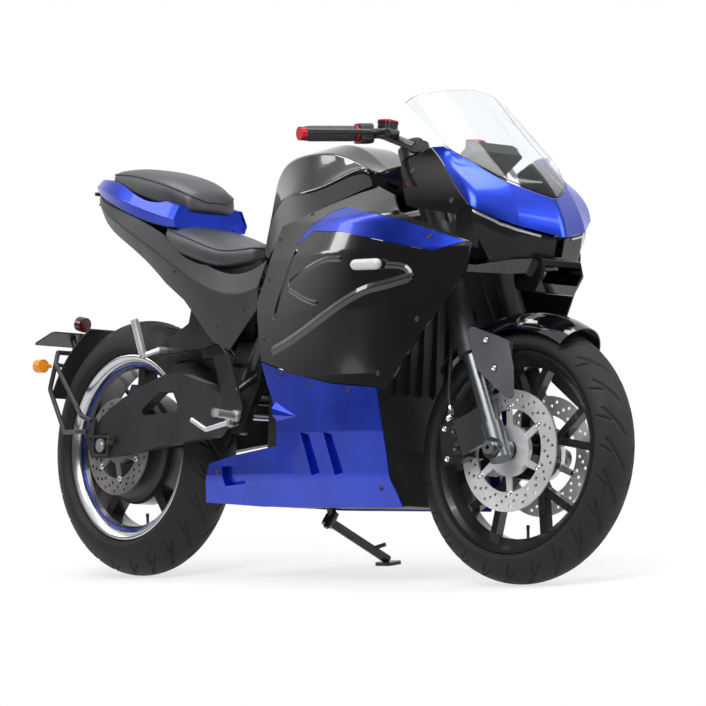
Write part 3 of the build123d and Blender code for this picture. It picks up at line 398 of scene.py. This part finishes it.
def tube_points(path, radius, steps):
    """Rings of points along a path."""
    points = []
    for number, here in enumerate(path):
        ahead = path[min(number + 1, len(path) - 1)] - path[max(number - 1, 0)]
        side, up = across(ahead)
        for step in range(steps):
            angle = 2 * pi * step / steps
            points.append(here + (side * cos(angle) + up * sin(angle)) * radius)
    return points


def smoothed(values, count):
    """Table rows turned into more rows by a smooth curve through them."""
    rows = []
    for number in range(count):
        spot = number * (len(values) - 1) / (count - 1)
        first = min(int(spot), len(values) - 2)
        share = spot - first
        picks = (first - 1, first, first + 1, first + 2)
        quad = [values[min(max(pick, 0), len(values) - 1)] for pick in picks]
        rows.append([0.5 * (2 * b + (c - a) * share + (2 * a - 5 * b + 4 * c - d) * share ** 2
                            + (3 * b - a - 3 * c + d) * share ** 3) for a, b, c, d in zip(*quad)])
    return rows


print("helpers ready")

# %% [markdown]
# ## Seats
# Both seats are moulded foam under a tight vinyl cover, sewn from a top panel and a side band with a piped
# seam between. Rings of points across the bike give the crowned form: a table holds the half width and
# the heights of the base, the widest line and the crown. The ends close in over a few short rings.

# %% Seats
SEATS = {
    # columns: x, half width, base height, height of the widest line, crown height
    "rider": ("rider_seat", [(170, 107, 806, 836, 866), (280, 125, 768, 802, 840),
                             (410, 115, 738, 768, 801), (506, 71, 753, 780, 806)]),
    "pillion": ("pillion_seat", [(-98, 65, 967, 986, 1006), (30, 95, 931, 962, 1006),
                                 (160, 95, 897, 931, 979), (244, 67, 885, 907, 938)]),
}
RINGS, STEPS = 30, 48
END_RINGS, END_SHRINK, END_ROUND = 3, 0.55, 2.2
SEAM_AT, SEAM_LIFT, SEAM_R, SEAM_STEPS = 0.44, 0.6, 2.2, 8
# powers that fill out a section: its sides above and below the widest line, its crown and its base
SIDE_ABOVE, SIDE_BELOW, CROWN_ROUND, BASE_ROUND = 0.62, 0.4, 0.85, 0.5


def seat_point(row, angle, shrink):
    """Point of a seat's section: flat base, full side, crowned top."""
    x, half, base, level, crown = row
    c, s = cos(angle), sin(angle)
    y = half * shrink * (1 if c > 0 else -1) * abs(c) ** (SIDE_ABOVE if s > 0 else SIDE_BELOW)
    rise = (crown - level) * abs(s) ** CROWN_ROUND if s > 0 else -(level - base) * abs(s) ** BASE_ROUND
    return Vector((x, y, level + rise * shrink))


for name, (part, table) in SEATS.items():
    rows = smoothed(table, RINGS)
    from_end = [min(n, RINGS - 1 - n) for n in range(RINGS)]
    shrinks = [1 - END_SHRINK * max(0, 1 - n / END_RINGS) ** END_ROUND for n in from_end]
    points = []
    for row, shrink in zip(rows, shrinks):
        points += [seat_point(row, 2 * pi * step / STEPS, shrink) for step in range(STEPS)]
    faces = grid_faces(RINGS, STEPS)
    faces += [list(range(STEPS)), list(range(len(points) - STEPS, len(points)))[::-1]]
    seat = add_piece(f"{name}_cushion", points, faces, PARKED, "chassis", "seat_vinyl")
    smoother = seat.modifiers.new("soft_form", "SUBSURF")
    smoother.levels = smoother.render_levels = 1
    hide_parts(part)
    left_run, right_run = [[seat_point(row, angle, shrink) + Vector((0, 0, SEAM_LIFT))
                            for row, shrink in zip(rows, shrinks)] for angle in (SEAM_AT, pi - SEAM_AT)]
    seam = left_run + right_run[::-1]
    faces = grid_faces(len(seam), SEAM_STEPS, close_rows=True)
    add_piece(f"{name}_piping", tube_points(seam, SEAM_R, SEAM_STEPS), faces, PARKED, "chassis",
              "black_moulding")
    print(name, "seat:", len(seat.data.vertices), "points and a piped seam")

# %% [markdown]
# ## Tyres
# The solids of the tyres are smooth, and the road tread is only their skin. A fine grid follows the same
# section and sinks where a groove runs: long slashes that start beside the middle and sweep out to the
# shoulder, the right side half a pitch behind the left. The new tyre then stands for the smooth one.

# %% Treaded tyres
RIM_R = 230
GROOVE_DEEP, GROOVE_WIDE, GROOVE_SOFT = 4.0, 5.0, 1.2
TAPER_IN, TAPER_OUT, TAPER_LEAST = 9, 5, 0.4
# columns: where it starts and ends beside the middle, slope, share of a pitch behind, share of the width
GROOVES = [(7, 58, 1.45, 0, 1.0), (40, 74, 0.55, 0.48, 0.8)]
CROWN_STEPS, PITCH_STEPS = 26, 34


def groove_share(run, reach, pitch):
    """How deep the tread is sunk, from 0 to 1, at a place along the tyre and across it."""
    deep = 0
    s = abs(reach)
    for start, end, slope, shift, wide in GROOVES:
        if start < s < end:
            side = 0.5 if reach < 0 else 0
            line = run - slope * (s - start) - pitch * (shift + side)
            off = abs((line + pitch / 2) % pitch - pitch / 2) / hypot(1, slope)
            taper = min(1, (s - start) / TAPER_IN, (end - s) / TAPER_OUT)
            half = GROOVE_WIDE * wide * (TAPER_LEAST + (1 - TAPER_LEAST) * taper) / 2
            deep = max(deep, min(1, max(0, (half - off) / GROOVE_SOFT + 0.5)))
    return deep


def treaded_tyre(name, part, radius, width, rim_width, pitches, place, body):
    """Closed tyre with grooves in its crown, about an axle along y."""
    half, edge = width / 2, rim_width / 2
    centre = radius - half
    # the wall from its foot inside the rim outwards: radius, place along the axle
    wall = [(RIM_R - 9, edge - 14), (RIM_R - 9, edge - 7.5), (RIM_R + 2, edge - 6), (RIM_R + 2, edge + 0.5),
            (RIM_R + 5, edge + 3.5), (0.5 * (RIM_R + centre) + 4, 0.35 * edge + 0.65 * half + 1.5)]
    section = [(r, y, 0, False) for r, y in wall]
    for step in range(-CROWN_STEPS, CROWN_STEPS + 1):
        angle = -pi / 2 * step / CROWN_STEPS
        section.append((centre + half * cos(angle), half * sin(angle), half * angle, True))
    section += [(r, -y, 0, False) for r, y in reversed(wall)]
    around = pitches * PITCH_STEPS
    pitch = 2 * pi * radius / pitches
    points = []
    for step in range(around):
        angle = 2 * pi * step / around
        for r, y, reach, crown in section:
            sunk = GROOVE_DEEP * groove_share(angle * radius, reach, pitch) if crown else 0
            lean = reach / half
            r, y = r - sunk * cos(lean), y - sunk * sin(lean)
            points.append((r * cos(angle), y, r * sin(angle)))
    faces = grid_faces(around, len(section), close_rows=True)
    tyre = add_piece(name, points, faces, place, body, "tyre_rubber")
    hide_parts(part)
    print(name, len(tyre.data.polygons) * 2, "triangles,", 2 * pitches, "grooves")


FRONT_WHEEL = STEERED @ Matrix.Translation(FRONT_AXLE)
REAR_WHEEL = PARKED @ Matrix.Translation((0, 0, REAR_R))
treaded_tyre("front_treaded_tyre", "front_tyre", FRONT_R, 110, 92, 24, FRONT_WHEEL, "front_wheel")
treaded_tyre("rear_treaded_tyre", "rear_tyre", REAR_R, 144, 116, 25, REAR_WHEEL, "rear_wheel")

# %% [markdown]
# ## Wheels: bright lips, bobbins and valves
# The rear rim has a wide polished lip with a thin blue line at its inner edge, and every disc floats on six
# bobbins. All of them are turned forms, so a profile of (distance along, radius) pairs is enough.

# %% Rim lips, bobbins and valves
REAR_EDGE = 58
LIP = [(REAR_EDGE - 0.6, 230.2), (REAR_EDGE + 0.9, 229.4), (REAR_EDGE + 0.9, 221.6), (48.9, 211.2),
       (39.4, 203.4), (38.2, 204.4)]
PINSTRIPE = [(38.9, 203.8), (39.6, 202.6), (37.6, 200.9), (36.9, 202.0)]
RIM_TRIM = [("rear_rim_lips", LIP, "rim_silver", "steel"),
            ("rear_rim_lines", PINSTRIPE, "blue_paint", "blue_paint")]
for name, profile, wears, slot in RIM_TRIM:
    sides = [((0, 0, 0), (0, way, 0), profile) for way in (-1, 1)]
    turned_piece(name, sides, REAR_WHEEL, "rear_wheel", wears, steps=128)
BOBBIN = [(-3.4, 0.1), (-3.4, 6.5), (-2.6, 7.5), (2.4, 7.5), (3.4, 6.4), (3.4, 3.6), (2.2, 3.2), (2.2, 0.1)]
BOBBINS = 6


def on_circle(radius, degrees, y):
    """Point of a wheel by radius, angle and place along the axle."""
    return (radius * cos(radians(degrees)), y, radius * sin(radians(degrees)))


def bobbin_ring(radius, first, y, ways):
    """Bobbins in a ring on one disc or on both: ring radius, first angle, place along the axle, sides."""
    return [(on_circle(radius, first + 360 / BOBBINS * n, way * y), (0, way, 0), BOBBIN)
            for n in range(BOBBINS) for way in ways]


front_bobbins = bobbin_ring(97, 96, 61, (-1, 1))
turned_piece("front_bobbins", front_bobbins, FRONT_WHEEL, "front_wheel", "chrome", steps=20)
rear_bobbins = bobbin_ring(80, 98, 84, (-1,))
turned_piece("rear_bobbins", rear_bobbins, REAR_WHEEL, "rear_wheel", "chrome", steps=20)
VALVE = [(-1, 5), (2, 5), (4, 3.6), (22, 3.4), (23, 4.1), (32, 4.1), (33, 2.5), (33, 0.1)]
VALVE_R, VALVE_ANGLE = 195.5, -84
root = Vector(on_circle(VALVE_R, VALVE_ANGLE, 0))
for name, wheel in (("front", FRONT_WHEEL), ("rear", REAR_WHEEL)):
    turned_piece(f"{name}_valve", [(root, -root, VALVE)], wheel, f"{name}_wheel", "black_moulding",
                 steps=16)
print("wheel trim:", len(front_bobbins) + len(rear_bobbins), "bobbins, 2 lips, 2 valves")

# %% [markdown]
# ## Screws and bolts
# Small fasteners hold the panels. A ray shot sideways at a panel finds its surface and the way it faces,
# so each screw sits flush wherever the panel curves. One table lists the panel and the places in side view.

# %% Screws on the panels
SCREW = [(-2.5, 0.1), (-2.5, 6.2), (0.4, 6.4), (1.5, 5.6), (1.6, 3.0), (0.3, 2.7), (0.3, 0.1)]
SCREWS = {
    "belly_pans": [(742, 474), (862, 450), (1010, 434), (470, 248), (1090, 210)],
    "side_panels": [(700, 796), (676, 700), (664, 560), (820, 850), (1120, 470), (1250, 590)],
    "tail_panels": [(250, 738), (540, 640), (420, 600)],
    "nose_panels": [(1186, 930), (1330, 856)],
    "accent_strips": [(1280, 776)],
}
RAY_FROM = 600
to_upright = PARKED.inverted()


def on_panel(part, x, z, way):
    """Point and facing of a panel where a ray from one side meets it, in upright terms."""
    start = PARKED @ Vector((x, way * RAY_FROM, z))
    aim = (PARKED @ Vector((x, 0, z)) - start).normalized()
    hit, point, normal, _ = nodes[part].ray_cast(start, aim)
    normal = (to_upright.to_3x3() @ normal).normalized()
    return (to_upright @ point, normal) if hit else None


screws = []
for part, places in SCREWS.items():
    for x, z in places:
        for way in (-1, 1):
            found = on_panel(part, x, z, way)
            if found:
                point, normal = found
                screws.append((point, normal if normal.y * way > 0 else -normal, SCREW))
turned_piece("panel_screws", screws, PARKED, "chassis", "cast_grey", steps=16)
print(len(screws), "panel screws")

# %% [markdown]
# ## Creases of the side panels
# The gloss black panels are pressed with sharp creases that catch the light: a long sweep from the pan up to
# the indicator, a line along the tank and a short blade over the air outlet. A strip laid on the panel by the
# same sideways rays, with its middle raised, gives the crease and keeps to the panel's curve.

# %% Creases and the wedge on the pans
# columns: panel, half width, height, points in side view
CREASES = [
    ("side_panels", 13, 4.0, [(704, 530), (764, 546), (844, 572), (923, 601), (1002, 630), (1087, 658),
                              (1164, 671), (1236, 686)]),
    ("side_panels", 9, 3.0, [(1236, 686), (1222, 704), (1196, 712), (1160, 713)]),
    ("side_panels", 9, 3.5, [(712, 604), (728, 650), (752, 700), (778, 744), (798, 768)]),
    ("side_panels", 7, 5.0, [(778, 672), (812, 660), (846, 648), (880, 640), (908, 635)]),
    ("side_panels", 9, 3.0, [(770, 684), (826, 706), (884, 724), (946, 735), (1006, 733)]),
]
RIDGE_HALF, SUNK, END_SHARE, FINER = 1.2, 0.8, 0.25, 4


def crease(part, half, height, places, way):
    """Rows of four points across a raised strip that follows the panel."""
    rows = []
    for number, (x, z) in enumerate(places):
        before, after = places[max(number - 1, 0)], places[min(number + 1, len(places) - 1)]
        run = Vector((after[0] - before[0], 0, after[1] - before[1])).normalized()
        slant = Vector((-run.z, 0, run.x))
        ridge = height * (END_SHARE if number in (0, len(places) - 1) else 1)
        row = []
        for offset, rise in ((-half, -SUNK), (-RIDGE_HALF, ridge), (RIDGE_HALF, ridge), (half, -SUNK)):
            found = on_panel(part, x + slant.x * offset, z + slant.z * offset, way)
            if not found:
                return []
            row.append(found[0] + Vector((0, way, 0)) * rise)
        rows.append(row)
    return rows


points, faces = [], []
for part, half, height, places in CREASES:
    fine = smoothed(places, FINER * len(places))
    for way in (-1, 1):
        rows = crease(part, half, height, fine, way)
        faces += grid_faces(len(rows), 4, len(points)) if rows else []
        points += [point for row in rows for point in row]
add_piece("side_creases", points, faces, PARKED, "chassis", "black_paint", smooth=False)
WEDGE = [(722, 412, 0), (726, 366, 0), (808, 376, 0), (723, 396, 15), (724, 380, 15)]
WEDGE_FACES = [(0, 3, 2), (3, 4, 2), (4, 1, 2), (0, 1, 4, 3), (0, 2, 1)]
points, faces = [], []
for way in (-1, 1):
    first = len(points)
    corners = [(on_panel("belly_pans", x, z, way), rise) for x, z, rise in WEDGE]
    if all(found for found, _ in corners):
        points += [found[0] + Vector((0, way, 0)) * (rise - SUNK) for found, rise in corners]
        faces += [[first + n for n in face] for face in WEDGE_FACES]
add_piece("pan_wedges", points, faces, PARKED, "chassis", "blue_paint", smooth=False)
print(len(CREASES), "creases a side and", len(points) // len(WEDGE), "wedges")

# %% [markdown]
# The fork carries larger bolts: on the calipers, in the recesses of the mudguard stays and as caps on the
# tubes. Bright banjos join the brake hoses to the calipers. Each place is given up and ahead of the fork leg.

# %% Bolts, caps and banjos on the fork
FORK_HALF, CALIPER_FACE, STAY_FACE, TUBE_TOP = 100, 93, 131, 775
# places as (up, ahead) of the fork leg, and those in the stays as (x, z)
CALIPER_BOLTS, CALIPER_CAPS = [(44, -150), (112, -134)], [(58, -116), (98, -108)]
STAY_BOLTS = [(1370, 538), (1400, 474)]


def on_fork(along, ahead=0, y=0):
    """Point by its distance up the fork leg from the axle, and ahead of the leg's line."""
    return FRONT_AXLE + UP_FORK * along + AHEAD_FORK * ahead + Vector((0, y, 0))


BOLT = [(-1, 0.1), (-1, 7), (4.5, 7), (5.6, 6), (5.6, 4), (2.4, 3.6), (2.4, 0.1)]
PISTON_CAP = [(-1, 0.1), (-1, 17), (2.6, 17), (3.8, 15.5), (3.8, 8), (2.6, 7), (2.6, 0.1)]
TUBE_CAP = [(0.2, 0.1), (0.2, 25.5), (3, 26), (5.5, 24.5), (5.5, 15), (10, 14), (10, 7), (7, 6.5), (7, 0.1)]
BANJO = [(-5, 0.1), (-5, 6), (-4, 9.5), (4, 9.5), (5, 6), (5, 5), (9, 4.6), (9, 0.1)]
SLEEVE = [(0, 0.1), (0, 6), (3, 7), (22, 6.6), (26, 5.2), (26, 0.1)]
bolts, caps, bright = [], [], []
for way in (-1, 1):
    face = way * CALIPER_FACE
    bolts += [(on_fork(along, ahead, face), (0, way, 0), BOLT) for along, ahead in CALIPER_BOLTS]
    bolts += [(Vector((x, way * STAY_FACE, z)), (0, way, 0), BOLT) for x, z in STAY_BOLTS]
    caps += [(on_fork(along, ahead, face), (0, way, 0), PISTON_CAP) for along, ahead in CALIPER_CAPS]
    caps.append((on_fork(TUBE_TOP, 0, way * FORK_HALF), UP_FORK, TUBE_CAP))
    bright.append((on_fork(134, -120, way * 88), (0, way, 0), BANJO))
    bright.append((on_fork(138, -116, way * 84), on_fork(190, -104, 84) - on_fork(132, -118, 84), SLEEVE))
turned_piece("fork_bolts", bolts, STEERED, "fork", "bare_steel", steps=16)
turned_piece("fork_caps", caps, STEERED, "fork", "frame_paint")
turned_piece("hose_banjos", bright, STEERED, "fork", "chrome", steps=20)
print(len(bolts), "bolts,", len(caps), "caps,", len(bright), "hose fittings")

# %% [markdown]
# ## Bars
# The grips are ribbed sleeves, and the brake reservoirs are cups with red lids. Cup and lid are plates with
# round corners, built from loops: each loop of the outline is set in and raised a little, the last is filled.
# Places are those of the right side, and a change of sign makes the left side of them.

# %% Grip ribs, reservoirs and lids
SIDES = {"right": Vector((1, 1, 1)), "left": Vector((1, -1, 1))}
GRIP_IN, GRIP_OUT = Vector((1000, -222, 1008)), Vector((958, -338, 992))
bar_way = (GRIP_OUT - GRIP_IN).normalized()
RIB = [(6, 17.15), (7.4, 18.3), (10.4, 18.3), (11.8, 17.15)]
RIBS, RIB_PITCH = 14, 8
ribs = [(RIB_PITCH * n + along, radius) for n in range(RIBS) for along, radius in RIB]
sleeves = [(GRIP_IN * flip, bar_way * flip, ribs) for flip in SIDES.values()]
turned_piece("grip_ribs", sleeves, STEERED, "fork", "grip_rubber", steps=40)
PLATE_STEPS = 48


def rounded_plate(name, centre, along, side, half_along, half_side, corner, loops, place, body, wears, slot):
    """Rounded plate; each loop is (set in, height) from the base up."""
    along, side = Vector(along).normalized(), Vector(side).normalized()
    up = along.cross(side)
    points = []
    for inset, height in loops:
        for n in range(PLATE_STEPS):
            angle = 2 * pi * (n + 0.5) / PLATE_STEPS
            c, s = cos(angle), sin(angle)
            a = (half_along - corner) * (1 if c > 0 else -1) + (corner - inset) * c
            b = (half_side - corner) * (1 if s > 0 else -1) + (corner - inset) * s
            points.append(Vector(centre) + along * a + side * b + up * height)
    faces = grid_faces(len(loops), PLATE_STEPS)
    faces.append(list(range(len(points) - PLATE_STEPS, len(points))))
    add_piece(name, points, faces, place, body, wears, smooth=False)


PERCH_IN = 52
perch = GRIP_IN - bar_way * PERCH_IN
cup_foot, cup_top = perch + Vector((22, 21, 5)), perch + Vector((22, 21, 28))
CUP_SIZE = (17, 20, 8)
CUP = [(2.5, 0), (0.5, 1.5), (-0.6, 6), (-0.6, 20), (-2.2, 20.8), (-2.2, 23.1)]
LID = [(-1.6, 0), (-1.6, 3.5), (0.2, 5.2), (4.0, 5.2), (5.0, 4.2)]
for name, flip in SIDES.items():
    rounded_plate(f"{name}_reservoir", cup_foot * flip, (1, 0, 0), (0, 1, 0), *CUP_SIZE, CUP, STEERED, "fork",
                  "frame_paint", "black_frame")
    rounded_plate(f"{name}_lid", cup_top * flip, (1, 0, 0), (0, 1, 0), *CUP_SIZE, LID, STEERED, "fork",
                  "red_anodised", "red_trim")
print("ribs on both grips, two reservoirs with lids")

# %% [markdown]
# ## Lamps and dashboard
# Behind the smoked lens sit two projectors a side: a bright ring and a shallow glass dome in each.
# The dashboard is one dark display with a bevelled edge. Clear covers close over the indicators.

# %% Projectors, display and indicator covers
finish("lamp_glass", [(0.34, 0.36, 0.38), (0.42, 0.44, 0.46)], (0.04, 0.08), grain=400, ior=1.5,
       coat_weight=0.8)
finish("display_glass", [(0.006, 0.007, 0.009), (0.010, 0.011, 0.013)], (0.05, 0.1), grain=500,
       coat_weight=1.0)
PROJECTORS = [((1402, -125, 777), (0.68, -0.73, 0), 16), ((1450, -59, 770), (0.92, -0.4, 0), 13)]
PROJECTOR_DEEP = 4.2
RING = [(0, 0.5), (1.6, 1), (1.6, 3.5), (0.4, 4.2)]
DOME, DOME_TIP = [(0.3, 4), (1.6, 6.5), (2.4, 10)], (2.8, 0.1)
rings, domes = [], []
for centre, aim, radius in PROJECTORS:
    front = Vector(centre) + Vector(aim).normalized() * PROJECTOR_DEEP
    ring, dome = [[(along, radius - inset) for along, inset in form] for form in (RING, DOME)]
    for flip in SIDES.values():
        rings.append((front * flip, Vector(aim) * flip, ring))
        domes.append((front * flip, Vector(aim) * flip, dome + [DOME_TIP]))
turned_piece("projector_rings", rings, PARKED, "chassis", "chrome")
turned_piece("projector_domes", domes, PARKED, "chassis", "lamp_glass")
LEFTWARD, DASH_UP = Vector((0, 1, 0)), Vector((-0.55, 0, 0.83)).normalized()
DASH_CENTRE, DASH_HIGH, DASH_SIZE = Vector((1246, 0, 958)), 26, (66, 34, 9)
DISPLAY = [(0, 0.2), (0, 1.2), (1.5, 2.0), (4, 1.4)]
rounded_plate("dash_display", DASH_CENTRE + DASH_UP * DASH_HIGH, LEFTWARD, DASH_UP.cross(LEFTWARD),
              *DASH_SIZE, DISPLAY, PARKED, "chassis", "display_glass", "case_black")
BLINKER_BACK, BLINKER_FRONT = Vector((1078, -247, 716)), Vector((1142, -243, 716))
blinker_way = (BLINKER_FRONT - BLINKER_BACK).normalized()
length = (BLINKER_FRONT - BLINKER_BACK).length
COVER_LONG, COVER_R, COVER_STEPS, POLE_R = 15, 12.6, 6, 0.1
cover = []
for step in range(COVER_STEPS + 1):
    angle = pi / 2 * step / COVER_STEPS
    cover.append((-COVER_LONG * cos(angle), POLE_R + COVER_R * sin(angle)))
cover += [(length - along, radius) for along, radius in reversed(cover)]
covers = [(BLINKER_BACK * flip, blinker_way * flip, cover) for flip in SIDES.values()]
turned_piece("blinker_covers", covers, PARKED, "chassis", "clear_lens", steps=28)
print(len(rings), "projectors, a display and two clear covers")

# %% [markdown]
# A pale rim runs along the upper edge of each lamp. Where that edge lies is found by shooting rays lower and
# lower until one meets the lens; the rim then follows the lens a little below it. A dark liner closes the
# gap behind the lamp, so that the inside of the nose doesn't show.

# %% Lamp rims and liners
RIM_DROPS = ((1.0, 0.2), (2.0, 1.8), (5.5, 1.8), (6.5, 0.2))
RIM_SPAN, RIM_SEARCH = range(1346, 1484, 6), range(880, 740, -1)
points, faces = [], []
for way in (-1, 1):
    rows = []
    for x in RIM_SPAN:
        top = next((z for z in RIM_SEARCH if on_panel("headlamps", x, z, way)), None)
        found = [on_panel("headlamps", x, top - drop, way) for drop, _ in RIM_DROPS] if top else [None]
        if all(found):
            rows.append([point + normal * (rise if normal.y * way > 0 else -rise)
                         for (point, normal), (_, rise) in zip(found, RIM_DROPS)])
    faces += grid_faces(len(rows), len(RIM_DROPS), len(points))
    points += [point for row in rows for point in row]
add_piece("lamp_rims", points, faces, PARKED, "chassis", "bright_cast", smooth=False)
LINER = [(1300, 762), (1374, 752), (1374, 800), (1352, 846), (1296, 852)]
LINER_FACES = (138, 142)
count = len(LINER)
for name, way in (("right", -1), ("left", 1)):
    points = [(x, way * y, z) for y in LINER_FACES for x, z in LINER]
    faces = grid_faces(2, count) + [list(range(count)), list(range(2 * count - 1, count - 1, -1))]
    add_piece(f"{name}_nose_liner", points, faces, PARKED, "chassis", "black_moulding",
              smooth=False)
print("lamp rims of", len(rows), "rows and two liners")

# %% [markdown]
# ## Closing panels
# A plain black skirt closes the space under the tail of the tank, a filler shuts the slot in the tail, a blue
# bridge joins the two sides of the tail under the passenger pad, and a black pan carries the rider's seat.
# The first three are each one outline, drawn four times through the thickness; the outer two are a little
# smaller, which breaks the edges. The pan follows the seat's own table, a little narrower and below its base.

# %% Skirt, filler, bridge and seat pan
SKIRT = [(505, 742), (545, 772), (600, 792), (690, 806), (715, 760), (676, 622), (604, 616), (534, 684)]
BRIDGE = [(-97, 903), (97, 903), (113, 867), (104, 850), (-104, 850), (-113, 867)]
TAIL_FILLER = [(-187, -26), (-100, -72), (20, -94), (20, 94), (-100, 72), (-187, 26)]
TAIL_LEVEL, TAIL_FALL = 899, 0.293
EDGE_SHARE = 0.95


def slab(name, outline, near, far, edge, lift, wears):
    """Outline drawn through a thickness, with broken edges; lift makes a point of two values and a depth."""
    count = len(outline)
    middle = [sum(spot[n] for spot in outline) / count for n in (0, 1)]
    points = []
    for depth, share in ((near, EDGE_SHARE), (near + edge, 1), (far - edge, 1), (far, EDGE_SHARE)):
        points += [lift(*(m + (c - m) * share for m, c in zip(middle, spot)), depth) for spot in outline]
    faces = grid_faces(4, count) + [list(range(count)), list(range(4 * count - 1, 3 * count - 1, -1))]
    add_piece(name, points, faces, PARKED, "chassis", wears, smooth=False)


slab("tank_skirt", SKIRT, -58, 58, 5, lambda x, z, depth: (x, depth, z), "black_moulding")
slab("tail_filler", TAIL_FILLER, -13, 11, 3, lambda x, y, depth: (x, y, TAIL_LEVEL - TAIL_FALL * x + depth),
     "black_moulding")
slab("tail_bridge", BRIDGE, 212, 226, 3, lambda y, z, depth: (depth, y, z), "blue_paint")
PAN_SHARE, PAN_TAPER, PAN_ABOVE, PAN_BELOW, PAN_ROWS = 0.84, 0.9, 8, 34, 12
points = []
for x, half, base, _, _ in smoothed(SEATS["rider"][1], PAN_ROWS):
    wide, narrow = half * PAN_SHARE, half * PAN_SHARE * PAN_TAPER
    points += [(x, -wide, base + PAN_ABOVE), (x, wide, base + PAN_ABOVE), (x, narrow, base - PAN_BELOW),
               (x, -narrow, base - PAN_BELOW)]
faces = grid_faces(PAN_ROWS, 4) + [[0, 1, 2, 3], [len(points) - n for n in (1, 2, 3, 4)]]
add_piece("rider_seat_pan", points, faces, PARKED, "chassis", "black_moulding", smooth=False)
print("skirt, filler, bridge and seat pan")

# %% [markdown]
# The rear axle sits in a square adjuster at each end of the swingarm: a frame with a sunk floor. The face of
# the swingarm is found by the same sideways rays.

# %% Axle adjusters
ADJUSTER = [(0, -1.5), (0, 6.5), (1.5, 8), (7, 8), (8, 6.5), (8.5, 1.5)]
ADJUSTER_X, PROBE_X, ADJUSTER_SIZE = -6, 30, (33, 26, 9)
for name, way in (("right", -1), ("left", 1)):
    face, _ = on_panel("swingarm", PROBE_X, REAR_R, way)
    centre = Vector((ADJUSTER_X, face.y, REAR_R))
    rounded_plate(f"{name}_adjuster", centre, (-way, 0, 0), (0, 0, 1), *ADJUSTER_SIZE, ADJUSTER, PARKED,
                  "chassis", "cast_grey", "dark_grey_metal")
    print(name, "adjuster at", tuple(round(c) for c in centre))
